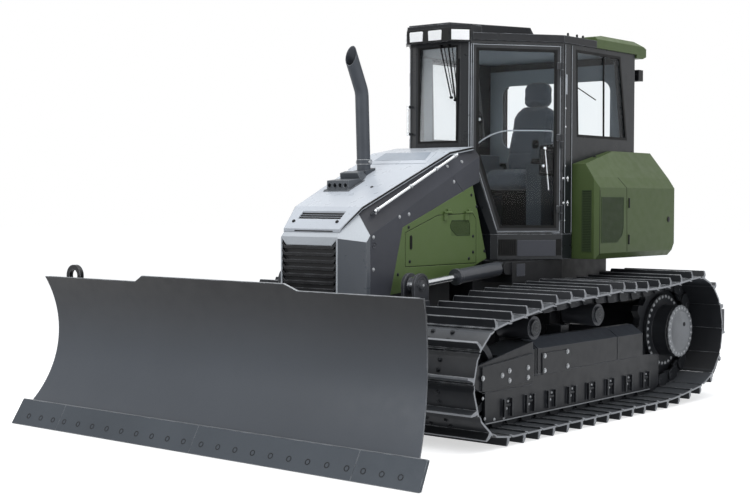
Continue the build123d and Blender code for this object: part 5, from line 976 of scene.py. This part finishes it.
# a black disc in the pipe's mouth: soot, and painted shade for the pipe's inside
add_turned(pipe_mouth_cap, pipe_mouth, pipe_way, ((0, 0.0462), (0.004, 0.0462)), 32)
add_piece("exhaust_mouth_cap", pipe_mouth_cap, soot_and_shade)
for across, way in ((-96, 1), (-204, -1)):
    add_slab(pipe_clamp, oblong(2378, 1936, 2404, 1962), crosswise, across, across + way * 14)
    for at, look in ((2404, 1), (2378, -1)):
        add_bolt(pipe_clamp, spot(at, across + way * 7, 1949), (look, 0, 0), 0.008)
clamp_band = ((0, 0.0605), (0.0035, 0.0605))
for up in (1930, 1964):
    add_turned(pipe_clamp, spot(2391, pipe_across, up), (0, 0, 1), clamp_band, 32)
add_piece("exhaust_clamp", pipe_clamp, bolt_steel)
mouth_up = hood_spot(2700, 0).z * 1000 + 37
mouth_rim = ((-0.001, 0.0215), (0.004, 0.021), (0.004, 0.0175), (-0.001, 0.0172))
mouth_floor = ((0, 0.0166), (0.002, 0.0166))
# each inlet mouth: a rim, and deep inside it a black disc of painted shade
for number in range(4):
    across = -255 + (number + 0.5) * 52.5
    add_turned(inlet_mouth_shade, spot(2666, across, mouth_up), (1, 0, 0), mouth_floor, 24)
    add_turned(inlet_skirt, spot(2700, across, mouth_up), (1, 0, 0), mouth_rim, 24, capped=False)
add_piece("inlet_mouth_shade", inlet_mouth_shade, soot_and_shade)
add_slab(inlet_skirt, oblong(2530, -275, 2720, -25), hood_spot, -1, 4)
skirt_bolts = [(at, across) for at in (2708, 2625, 2545) for across in (-34, -266)]
add_bolts(inlet_skirt, skirt_bolts, hood_spot, 0.0075, 4)
# short duct from the inlet box to the exhaust's foot
rows = []
for at, half, rise in ((2546, 96, 72), (2500, 88, 66), (2452, 64, 40), (2440, 60, 6)):
    section = ((-half - 8, 3), (-half + 8, rise), (half - 8, rise), (half + 8, 3))
    rows.append([hood_spot(at, pipe_across + across, up) for across, up in section])
add_loft(duct, rows)
add_piece("inlet_duct", duct, inlet_paint, soft_edge=0.005)
add_piece("inlet_skirt", inlet_skirt, inlet_paint)

# Cab frame: welded pillars under black-grey paint with thin bright beads along their folds,
# which are painted highlights, rubber seals round every pane, and a divider bar in each side
# window. The paint's pale worn edges are painted highlights too.
cab_paint = coated(
    "cab_paint", "1b1e22", 0.32, wear=0.9, dust=0.02, bare="9a9ea3", gloss=0.3,
    cloud_scale=1.6, edge_radius=0.008,
)
# bright metal for the door tubes and pillar plates, and for painted highlights along folded edges
bright_metal_and_highlight = coated(
    "bright_metal_and_highlight", "a0a5ab", 0.32, wear=0.4, dust=0.02, bare="c4c7ca", metallic=0.3,
    edge_radius=0.002,
)
roof_paint = coated(
    "roof_paint", "1a1c20", 0.32, wear=0.9, dust=0.02, bare="9a9ea3", cloud_scale=1.6,
    edge_radius=0.008,
)
dress(cab_paint, "cab_frame", "cab_base", "left_cab_door", "right_cab_door")
dress(roof_paint, "cab_roof")
cab_face = 760
# a slanting face: place and distance across of its front edge, and the cosine and sine of its run
door_skin = (1630, 300, 0.804, 0.5946)


def on_slant(side, at, across, cos, sin):
    """Places on a face that slants back and outward: run back along it, height and distance out."""
    return lambda run, up, out: spot(
        at - cos * run + sin * out, side * (across + sin * run + cos * out), up
    )


striker = ((-0.001, 0.012), (0.005, 0.012), (0.007, 0.009), (0.014, 0.009), (0.017, 0.006))
window = ((-6, 2190), (114, 2862), (800, 2862), (776, 2190))
front_highlights = (((5, 2888), (5, 2048)), ((5, 2048), (212, 1404)), ((-14, 2900), (-14, 2060)))
frame_seals, pillar_highlights, pillar_bolts, pillar_plates = (bmesh.new() for number in range(4))
for side in (1, -1):
    wall, door = on_side(side, cab_face), on_slant(side, *door_skin)
    # painted highlights: thin bright beads along the pillars' folded edges
    for first, last in front_highlights:
        add_rod(pillar_highlights, door(*first, 0.5), door(*last, 0.5), 0.0034, 8)
    add_rod(pillar_highlights, door(222, 1400, 0.5), door(752, 1400, 0.5), 0.003, 8)
    add_frame(frame_seals, shrunk(window, -16), 22, wall, -7, 1.5)
    add_slab(frame_seals, ((356, 2193), (370, 2193), (378, 2860), (364, 2860)), wall, -9.5, 1.5)
    for at, width in ((984, 9), (884, 7)):
        add_slab(frame_seals, oblong(at, 1398, at + width, 2906), wall, -0.2, 1.2)
    for at in (974, 872):
        add_rod(pillar_highlights, wall(at, 1400, 0), wall(at, 2904, 0), 0.0028, 8)
    # chromed strikers and their bolts on the middle pillar, and a bolted plate above them
    for at, up in ((1000, 1835), (938, 1836), (996, 1639), (938, 1640)):
        add_turned(pillar_bolts, wall(at, up, 0), (0, side, 0), striker, 16)
        if at == 938:
            add_rod(pillar_bolts, wall(at, up - 24, 6), wall(at, up + 20, 6), 0.0045, 10)
    add_bolts(pillar_bolts, ((968, 2397), (968, 1935), (968, 2250), (968, 1500)), wall, 0.007)
    add_slab(pillar_plates, oblong(948, 2509, 976, 2667), wall, -0.2, 3.8)
    add_bolts(pillar_plates, ((962, 2528), (962, 2588), (962, 2648)), wall, 0.006, 3.5)
for at, way, half, low_up, high_up in ((1660, 1, 186, 2125, 2868), (-150, -1, 560, 2130, 2780)):
    pane_edge = shrunk(oblong(-half, low_up, half, high_up), -12)
    add_frame(frame_seals, pane_edge, 17, on_end(at, way), -7, 1.5)
add_piece("cab_seals", frame_seals, black_rubber)
add_piece("pillar_highlights", pillar_highlights, bright_metal_and_highlight)
add_piece("pillar_strikers", pillar_bolts, chrome_rod)
add_piece("pillar_plates", pillar_plates, bright_metal_and_highlight, soft_edge=0.001)

# Cab doors: each leaf has a bright strip round its folded rim, a painted highlight, a rubber
# seal round its pane, a bent tube across it inside, and a chromed pull bar on a black bracket.
leaf = ((12, 2892), (12, 2046), (219.7, 1406), (757.6, 1406), (757.6, 2892))
tube_route = (
    (52, 2090),
    (100, 2132),
    (200, 2186),
    (300, 2213),
    (480, 2215),
    (690, 2216),
    (704, 2205),
    (696, 2130),
)
bracket_back = ((586, 1866), (590, 2098), (700, 2110), (712, 1990), (704, 1850))
pull_knob = ((-0.016, 0.008), (-0.01, 0.015), (0, 0.018), (0.01, 0.015), (0.016, 0.007))
for side, where in both_sides:
    door, body = on_slant(side, *door_skin), where + "_cab_door"
    rim, seal, bracket, pull = (bmesh.new() for number in range(4))
    # painted highlight: a bright strip round the leaf's folded edge
    add_frame(rim, shrunk(leaf, 6), 4, door, -0.5, 2.5)
    add_piece(where + "_leaf_rim_highlight", rim, bright_metal_and_highlight, body)
    add_frame(seal, shrunk(leaf, 34), 22, door, -9.5, 1.5)
    add_piece(where + "_pane_seal", seal, black_rubber, body)
    tube = bpy.data.curves.new(where + "_door_tube", "CURVE")
    tube.dimensions = "3D"
    tube.bevel_depth = 0.006
    tube.bevel_resolution = 3
    line = tube.splines.new("NURBS")
    line.points.add(len(tube_route) - 1)
    for point, (run, up) in zip(line.points, tube_route):
        point.co = (*door(run, up, -34), 1)
    line.order_u = 3
    line.use_endpoint_u = True
    tube.materials.append(bright_metal_and_highlight)
    tube_piece = put_in_scene(where + "_door_tube", tube)
    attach(tube_piece, body)
    for up in (1872, 2080):
        add_rod(bracket, door(598, up, -22), door(716, up - 8, -24), 0.013, 10)
    add_slab(bracket, bracket_back, door, -38, -26)
    add_piece(where + "_pull_bracket", bracket, black_rubber, body, soft_edge=0.003)
    add_rod(pull, door(631, 2066, -19), door(663, 1742, -19), 0.008, 16)
    add_turned(pull, door(629, 2074, -19), (0, 0, 1), pull_knob, 18)
    add_bolts(pull, ((620, 1935),), door, 0.010, -25)
    add_piece(where + "_pull_bar", pull, chrome_rod, body)

# Panes: clear laminated glass, faintly tinted and cloudy with dust, bonded into their
# seals. The windshield lets less light through than the rest, and shows paler.
cab_glass = bpy.data.materials.new("cab_glass")
cab_glass.use_nodes = True
tree = cab_glass.node_tree
place = add_node(tree, "TexCoord").outputs["Object"]
film = add_node(tree, "TexNoise", {"Vector": place, "Scale": 3.0, "Detail": 6.0}).outputs["Fac"]
haze = add_node(tree, "MapRange", {"Value": film, "To Min": 0.0, "To Max": 0.02}).outputs["Result"]
pane = {"Base Color": mixed(tree, film, tone("fafcfd"), tone("f4f8fa")), "Roughness": haze}
feed(tree, tree.nodes["Principled BSDF"], {"Transmission Weight": 1.0, "IOR": 1.12, **pane})
dress(cab_glass, "cab_windows", "left_door_glass", "right_door_glass")
pale_windshield_glass = cab_glass.copy()
pale_windshield_glass.name = "windshield_glass"
pale_windshield_glass.node_tree.nodes["Principled BSDF"].inputs["Transmission Weight"].default_value = 0.8
dress(pale_windshield_glass, "windshield")

# Wipers: two sprung arms on spindles under the visor, with one long blade by the pillar,
# and a short arm on the rear window. Black painted steel with rubber blades.
wiper_face, rear_face = 1672, -166
wipers = bmesh.new()
for start, end, radius in (
    ((wiper_face, 34, 2880), (wiper_face, 142, 2470), 0.0055),
    ((1674, 70, 2878), (1674, 160, 2500), 0.0035),
    ((wiper_face, 112, 2880), (wiper_face, 182, 2448), 0.007),
    ((1676, 150, 2876), (1674, 196, 2560), 0.004),
    ((1666, 206, 2770), (1666, 190, 2136), 0.0065),
    ((wiper_face, 206, 2770), (wiper_face, 200, 2440), 0.004),
):
    add_rod(wipers, spot(*start), spot(*end), radius, 10)
for across, up in ((142, 2470), (182, 2448), (112, 2880), (34, 2880)):
    spindle = ((-0.012, 0.011), (0.008, 0.011), (0.011, 0.008))
    add_turned(wipers, spot(wiper_face, across, up), (1, 0, 0), spindle, 14)
add_rod(wipers, spot(rear_face, 172, 2668), spot(rear_face, 367, 2544), 0.005, 8)
spindle = ((-0.001, 0.012), (0.02, 0.012), (0.022, 0.009))
add_turned(wipers, spot(-150, 172, 2668), (-1, 0, 0), spindle, 14)
add_piece("wipers", wipers, black_rubber)

# Cab roof: pressed panels with stud mounts along the left edge, and lamps whose clear
# lenses sit in black bezels; the lenses are flat white, a painted reflection. The rear lamps
# are dark boxes on brackets, with lenses of the same white.
# white lamp bodies; on the lenses the same flat white is painted reflection
lamp_white = coated("lamp_white", "fafbfc", 0.18, wear=0.0, dust=0.0, gloss=0.5, grain=0.05)
lamp_black = coated("lamp_black", "0e0f11", 0.4, wear=0.5, dust=0.04, bare="777b80")
dress(lamp_white, "work_lamps")
dress(lamp_black, "rear_lamps")
# the visor's slanting side runs back and outward by this much, and its frame stands out from it
visor_back, visor_out, visor_gap = 137, 115, 3
visor_run = math.hypot(visor_back, visor_out)
cos, sin = visor_back / visor_run, visor_out / visor_run
visor_skin = (1789 + sin * visor_gap, 205 + cos * visor_gap, cos, sin)
lens_outline = ((-62, 2912), (62, 2912), (66, 2984), (60, 2990), (-60, 2990), (-66, 2984))
stud = ((-0.001, 0.016), (0.004, 0.016), (0.005, 0.009), (0.026, 0.009), (0.029, 0.006))
bezels, lenses, roof_studs = bmesh.new(), bmesh.new(), bmesh.new()
add_slab(bezels, oblong(-205, 2897, 205, 3006), on_end(1788.5), 0, 6)
for middle in (-112, 72):
    add_slab(lenses, [(middle + across, up) for across, up in lens_outline], on_end(1794), 0, 6)
for side in (1, -1):
    visor = on_slant(side, *visor_skin)
    add_slab(bezels, oblong(2, 2897, visor_run - 2, 3006), visor, -3.5, 2)
    add_slab(lenses, oblong(16, 2910, visor_run - 18, 2990), visor, 2, 7)
    rear_middle = side * 700
    rear_lens = oblong(rear_middle - 54, 2704, rear_middle + 54, 2784)
    add_slab(lenses, rear_lens, on_end(-295, -1), -1, 4)
    for at in (917, 779, 686):
        add_turned(roof_studs, spot(at, side * 745, 2974), (0, 0, 1), stud, 16)
add_piece("lamp_bezels", bezels, lamp_black)
add_piece("lamp_lenses", lenses, lamp_white, soft_edge=0.0015)
add_piece("roof_studs", roof_studs, lamp_black)

# Cab inside: moulded grey trim round the rear window and under the roof, and a black fan
# housing on each front pillar.
trim_plastic = coated(
    "trim_plastic", "7c868e", 0.62, wear=0.05, dust=0.02, bare="59626a", cloud_scale=2.0,
    grain_scale=260.0,
)
inside_black = coated("inside_black", "0a0b0c", 0.7, wear=0.0, dust=0.03)
inner_half = 692


def rounded_oblong(half_run, half_rise, corner):
    """Outline of a rectangle about its middle, with rounded corners."""
    outline = []
    for end, side, first in ((1, 1, 0), (-1, 1, 90), (-1, -1, 180), (1, -1, 270)):
        for step in range(9):
            angle = math.radians(first + step * 90 / 8)
            run = end * (half_run - corner) + corner * math.cos(angle)
            outline.append((run, side * (half_rise - corner) + corner * math.sin(angle)))
    return outline


trim, liners, fans, fan_bolts = (bmesh.new() for number in range(4))
# the rear window's surround: each point of its opening is carried out to the cab's walls
opening = [(across, 2417.5 + rise) for across, rise in rounded_oblong(562, 282.5, 95)]
window_middle, above, below = 2418, 492, 520
surround = []
for across, up in opening:
    rise = up - window_middle
    reach = max(abs(across) / inner_half, abs(rise) / (above if rise > 0 else below))
    surround.append((across / reach, window_middle + rise / reach))
add_hoop(trim, surround, opening, on_end(0), -86, -70)
ceiling = (
    (1570, -240),
    (1560, -285),
    (985, -690),
    (-84, -690),
    (-84, 690),
    (985, 690),
    (1560, 285),
    (1570, 240),
)
add_slab(trim, ceiling, spot, 2898, 2914)
mat = ((1425, -395), (975, -690), (-84, -690), (-84, 690), (975, 690), (1425, 395))
add_slab(liners, mat, spot, 1393, 1401)
add_slab(liners, oblong(-690, 1400, 690, 2124), on_end(-89), 0, 8)
fan_outline = ((70, 2060), (120, 2090), (128, 2330), (96, 2372), (62, 2350), (58, 2100))
for side in (1, -1):
    inner_wall, door = on_side(side, 0), on_slant(side, *door_skin)
    add_slab(trim, oblong(812, 2150, 974, 2892), inner_wall, inner_half, 699.5)
    add_slab(liners, oblong(-84, 1400, 974, 2148), inner_wall, 690, 699.5)
    add_slab(fans, fan_outline, door, -112, -70)
    add_bolts(fan_bolts, ((96, 2300),), door, 0.009, -70)
add_piece("cab_trim", trim, trim_plastic, soft_edge=0.004)
add_piece("cab_liners", liners, inside_black)
add_piece("pillar_fans", fans, inside_black, soft_edge=0.008)
add_piece("pillar_fan_bolts", fan_bolts, bolt_steel)

# Seat: stuffed cushions in dark woven cloth with sewn channels, on a steel post. Each
# cushion is swelled as cloth from a smaller block, held to its space, and then sewn.
seat_cloth = bpy.data.materials.new("seat_cloth")
seat_cloth.use_nodes = True
seat_cloth.diffuse_color = tone("2b3036")
tree = seat_cloth.node_tree
place = add_node(tree, "TexCoord").outputs["Object"]
threads = []
for direction in ("X", "Y", "Z"):
    wave = {"Vector": place, "Scale": 110, "Distortion": 0.6}
    threads.append(add_node(tree, "TexWave", wave, bands_direction=direction).outputs["Fac"])
weave = add_node(tree, "Math", dict(enumerate(threads)), operation="MULTIPLY_ADD").outputs[0]
melange = add_node(tree, "TexNoise", {"Vector": place, "Scale": 40}).outputs["Fac"]
relief = {"Strength": 0.4, "Distance": 0.0008, "Height": weave}
relief = add_node(tree, "Bump", relief).outputs["Normal"]
cloth = {"Base Color": mixed(tree, melange, tone("3c434b"), tone("59616b")), "Normal": relief}
feed(tree, tree.nodes["Principled BSDF"], {"Roughness": 0.88, "Sheen Weight": 0.25, **cloth})
voxel, swelling_frames, furthest_move = 0.009, 20, 0.022
channel_half, channel_depth = 0.014, 0.008


def baked(piece):
    """A copy of a piece's shape as its modifiers leave it."""
    bpy.context.view_layer.update()
    shaped = piece.evaluated_get(bpy.context.evaluated_depsgraph_get())
    return bpy.data.meshes.new_from_object(shaped)


def sewn_cushion(name, centre, size, corner, taper, lean, channels):
    """Stuffed cushion: a rounded block swelled as cloth near its space, with channels sewn in."""
    shape = bmesh.new()
    long, wide, thick = Vector(size) * 0.475
    outline = []
    for at, across in rounded_oblong(long, wide, corner):
        outline.append((at, across * (1 - taper * max(0.0, -at / long) ** 2)))
    rows = []
    for height, shrink in ((-1, 0.9), (-0.93, 0.96), (-0.72, 1), (0.72, 1), (0.93, 0.96), (1, 0.9)):
        rows.append([(at * shrink, across * shrink, thick * height) for at, across in outline])
    add_loft(shape, rows)
    mesh = bpy.data.meshes.new(name)
    shape.to_mesh(mesh)
    shape.free()
    piece = put_in_scene(name, mesh)
    grid = piece.modifiers.new("grid", "REMESH")
    grid.mode = "VOXEL"
    grid.voxel_size = voxel
    mesh = baked(piece)
    piece.modifiers.clear()
    piece.data = mesh
    block = [vertex.co.copy() for vertex in mesh.vertices]
    swell = piece.modifiers.new("swell", "CLOTH")
    swell.settings.use_pressure = True
    swell.settings.uniform_pressure_force = 4
    swell.settings.effector_weights.gravity = 0
    swell.point_cache.frame_start, swell.point_cache.frame_end = 1, swelling_frames
    for step in range(1, swelling_frames + 1):
        scene.frame_set(step)
    mesh = baked(piece)
    piece.modifiers.clear()
    piece.data = mesh
    scene.frame_set(1)
    for vertex, start in zip(mesh.vertices, block):
        moved = vertex.co - start
        if moved.length > furthest_move:
            moved *= furthest_move / moved.length
        vertex.co = start + moved
    normals = [vertex.normal.copy() for vertex in mesh.vertices]
    for vertex, normal in zip(mesh.vertices, normals):
        if vertex.co.z < 0:
            continue
        deepest = 0.0
        for way, where in channels:
            gap = abs(vertex.co[way] - where)
            if gap < channel_half:
                deepest = max(deepest, channel_depth * (1 - gap / channel_half) ** 1.5)
        vertex.co -= normal * deepest
    mesh.transform(Matrix.Translation(centre) @ Matrix.Rotation(lean, 4, "Y"))
    mesh.materials.append(seat_cloth)
    mesh.shade_smooth()
    smoother = piece.modifiers.new("smoother", "SUBSURF")
    smoother.levels = smoother.render_levels = 1
    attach(piece, "tractor")
    return piece


# channels: the cushion's own axis that each crosses, and its place along that axis
cushion = sewn_cushion(
    "seat_cushion", spot(470, 0, 1835), (0.53, 0.51, 0.14), 0.09, 0, 0,
    ((1, -0.15), (1, 0.15), (0, 0.08), (0, -0.1)),
)
sewn_cushion(
    "seat_backrest", spot(268, 0, 2176), (0.68, 0.52, 0.105), 0.11, 0.26, math.radians(77.8),
    ((1, -0.15), (1, 0.15), (0, 0.12), (0, -0.08)),
)
sewn_cushion(
    "seat_headrest", spot(193, 0, 2582), (0.225, 0.265, 0.09), 0.06, 0.12, math.radians(87),
    ((0, 0.05),),
)
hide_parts("seat")
seat_post = bmesh.new()
for half, first, last, low_up, high_up in (
    (186, 255, 605, 1392, 1440),
    (130, 300, 560, 1440, 1700),
    (190, 250, 640, 1700, 1764),
):
    add_slab(seat_post, oblong(first, low_up, last, high_up), crosswise, -half, half)
for across in (-62, 62):
    add_rod(seat_post, spot(206, across, 2440), spot(196, across, 2545), 0.007, 12)
add_piece("seat_post", seat_post, inside_black, soft_edge=0.006)

# Consoles: moulded plastic with lever boots and knobs, switches, and a dash screen. They
# stand on the cab's mat, bolted down beside the seat and before it.
console_plastic = coated(
    "console_plastic", "474e55", 0.58, wear=0.1, dust=0.02, bare="5e666e",
    grain_scale=240.0,
)
dress(console_plastic, "consoles")
lever_at, lever_across = 782, 355
boot = ((0, 0.045), (0.012, 0.04), (0.02, 0.043), (0.032, 0.03), (0.04, 0.032), (0.05, 0.018))
knob = ((0, 0.02), (0.012, 0.028), (0.05, 0.03), (0.07, 0.022), (0.075, 0.01))
levers, switches = bmesh.new(), bmesh.new()
for side in (1, -1):
    for up, profile in ((1960, boot), (2088, knob)):
        add_turned(levers, spot(lever_at, side * lever_across, up), (0, 0, 1), profile, 20)
    for at in (400, 470, 540, 610):
        key = ((at, 2049), (at + 40, 2049), (at + 38, 2056), (at + 2, 2052))
        add_slab(switches, key, on_side(side, 0), 335, 380)
add_slab(levers, ((1262, 1790), (1318, 1932), (1306, 1937), (1250, 1795)), crosswise, -120, 120)
add_piece("lever_knobs", levers, black_rubber, soft_edge=0.002)
add_piece("console_switches", switches, bolt_steel)

# Under the door: a tread recess drawn as flat black plates of painted shade with black bars
# across them, a grey service panel and a blank plate on the box that carries the lift cylinder.
sill_skin = (1463, 450, 0.8264, 0.563)
sill_shade_and_bars, sill_panel = bmesh.new(), bmesh.new()
for side in (1, -1):
    sill, box_side = on_slant(side, *sill_skin), on_side(side, 671.5)
    # painted shade: flat black plates stand for the depth of the tread recesses
    add_slab(sill_shade_and_bars, oblong(4, 1222, 158, 1352), sill, -0.5, 2.5)
    add_slab(sill_panel, oblong(164, 1216, 494, 1344), sill, -0.5, 5)
    add_slab(sill_shade_and_bars, oblong(500, 1222, 545, 1352), sill, -0.5, 2.5)
    for number in range(9):
        run = 16 + number * 16
        add_rod(sill_shade_and_bars, sill(run, 1230, 3), sill(run, 1344, 3), 0.0025, 6)
    add_slab(sill_panel, oblong(1409, 1068, 1528, 1166), box_side, 0, 3)
    add_bolts(sill_panel, oblong(1418, 1078, 1519, 1156), box_side, 0.004, 2.5)
add_piece("sill_recesses", sill_shade_and_bars, black_rubber)
add_piece("sill_panels", sill_panel, side_paint, soft_edge=0.002)

# Rear boxes and tank: green pressed housings with fine vents, a lapped seam, hinged and
# latched doors, a filler cap and tie-down rings.
# painted shade: a darker copy of the green paint, for the rear boxes and tank
rear_green_painted_shade = coated(
    "rear_green_painted_shade", "455530", 0.4, wear=0.25, dust=0.02, bare="8d9f74", cloud_scale=1.0,
    edge_radius=0.008,
)
# painted shade: a dark green for the sheets behind the vents
vent_shade_green = coated("vent_shade_green", "24301c", 0.6, wear=0.0, dust=0.02, cloud_scale=2.0)
dress(rear_green_painted_shade, "rear_boxes", "rear_tank", "rear_roof_cover")
rear_vents, vent_shade_beds, rear_seams, rear_fittings = (bmesh.new() for number in range(4))
vent = ((808, 1690), (808, 1330), (796, 1318), (560, 1318), (470, 1370), (446, 1440), (446, 1690))
seam_section = ((-2.5, -0.5), (2.5, -0.5), (2.5, 1), (-2.5, 1))
side_latch = ((-0.001, 0.024), (0.004, 0.024), (0.006, 0.02))
tail_latch = ((-0.001, 0.026), (0.005, 0.026), (0.007, 0.02))
filler_cap = ((-0.001, 0.07), (0.012, 0.07), (0.014, 0.055), (0.034, 0.052), (0.038, 0.044))
box_face, tail_at, seam_half = 1000, -437, 2.5
for side in (1, -1):
    box, tail, inner = on_side(side, box_face), on_end(tail_at, -1), on_side(side, 0)
    add_frame(rear_vents, vent, 9, box, -0.5, 3)
    # painted shade: a dark sheet behind the vent slats, for the shade in their gaps
    add_slab(vent_shade_beds, shrunk(vent, 4), box, -0.2, 0.8)
    add_slab(vent_shade_beds, oblong(side * 856, 1250, side * 942, 1742), on_end(861.8), 0, 1)
    for number in range(40):
        up = 1326 + number * 9.2
        first = 455 if up > 1440 else 455 + (1440 - up) * 0.62
        add_slab(rear_vents, oblong(first, up - 2.4, 800, up + 2.4), box, -0.5, 2.2)
    for number in range(36):
        up = 1262 + number * 13.2
        add_slab(rear_vents, oblong(861.5, up - 3, 863.5, up + 3), inner, 860, 938)
    add_frame(rear_vents, oblong(side * 854, 1248, side * 944, 1744), 7, on_end(862), -0.5, 3)
    # lapped seams down the box's side, and one up its bevelled top
    for top, top_up, foot, foot_up in ((398, 1766, 386, 1240), (828, 1744, 828, 1224)):
        upper = ((top - seam_half, top_up), (top + seam_half, top_up))
        lower = ((foot + seam_half, foot_up), (foot - seam_half, foot_up))
        add_slab(rear_seams, upper + lower, box, -0.5, 1)
    rows = []
    for at, across, up in ((398, box_face, 1765), (470, 955, 1850)):
        places = [(at + step, across + out, up + out * 0.5) for step, out in seam_section]
        rows.append([spot(place, side * reach, height) for place, reach, height in places])
    add_loft(rear_seams, rows)
    for up in (1600, 1300):
        add_rod(rear_fittings, box(360, up, 1), box(360, up + 80, 1), 0.009, 12)
    add_turned(rear_fittings, box(-330, 1500, 0), (0, side, 0), side_latch, 20)
    # rear door of the tank: lapped frame, hinges, latch and louvres
    add_frame(rear_seams, oblong(side * 30, 1330, side * 700, 1740), 5, tail, -0.5, 1)
    for number in range(9):
        up = 1400 + number * 32
        add_slab(rear_vents, ((-436.5, up), (-441, up), (tail_at, up + 16)), inner, 120, 500)
    for up in (1400, 1660):
        add_rod(rear_fittings, tail(side * 712, up, 4), tail(side * 712, up + 90, 4), 0.01, 12)
    add_turned(rear_fittings, tail(side * 60, 1540, 0), (-1, 0, 0), tail_latch, 20)
    for at, up in ((-60, 2072), (560, 2018)):
        add_bolt(rear_fittings, spot(at, side * 790, up), (0, 0, 1), 0.012)
add_turned(rear_fittings, spot(-250, 330, 2072), (0, 0, 1), filler_cap, 32)
add_piece("rear_vents", rear_vents, green_mesh)
add_piece("rear_vent_beds", vent_shade_beds, vent_shade_green)
add_piece("rear_seams", rear_seams, black_rubber)
add_piece("rear_fittings", rear_fittings, lamp_black)

# Ripper: cast points pinned on the shanks' tips, keeper plates on the pins, and bolts
# along the bracket's back plate.
point_outline = ((-1128, 10), (-1168, 82), (-1202, 110), (-1262, 74), (-1246, 40))
point_pin = ((-0.001, 0.012), (0.003, 0.012), (0.004, 0.008))
keeper = ((-0.001, 0.016), (0.006, 0.016), (0.008, 0.012))
ripper_points, ripper_keepers, bracket_bolts = bmesh.new(), bmesh.new(), bmesh.new()
for across in (-960, 0, 960):
    add_slab(ripper_points, point_outline, crosswise, across - 30, across + 30)
    for face in (-1, 1):
        add_turned(ripper_points, spot(-1208, across + face * 30, 70), (0, face, 0), point_pin, 14)
        for up in (570, 680):
            place = spot(-1345, across + face * 25, up)
            add_turned(ripper_keepers, place, (0, face, 0), keeper, 16)
add_piece(
    "ripper_points", ripper_points, bright_steel, "ripper_beam", soft_edge=0.003
)
add_piece("shank_keepers", ripper_keepers, bolt_steel, "ripper_beam")
bolt_rows = [(across, up) for across in (-440, -340, 340, 440) for up in (420, 560, 700, 880, 1000)]
add_bolts(bracket_bolts, bolt_rows, on_end(-410, -1), 0.013)
add_piece("bracket_bolts", bracket_bolts, bolt_steel)

low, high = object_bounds()
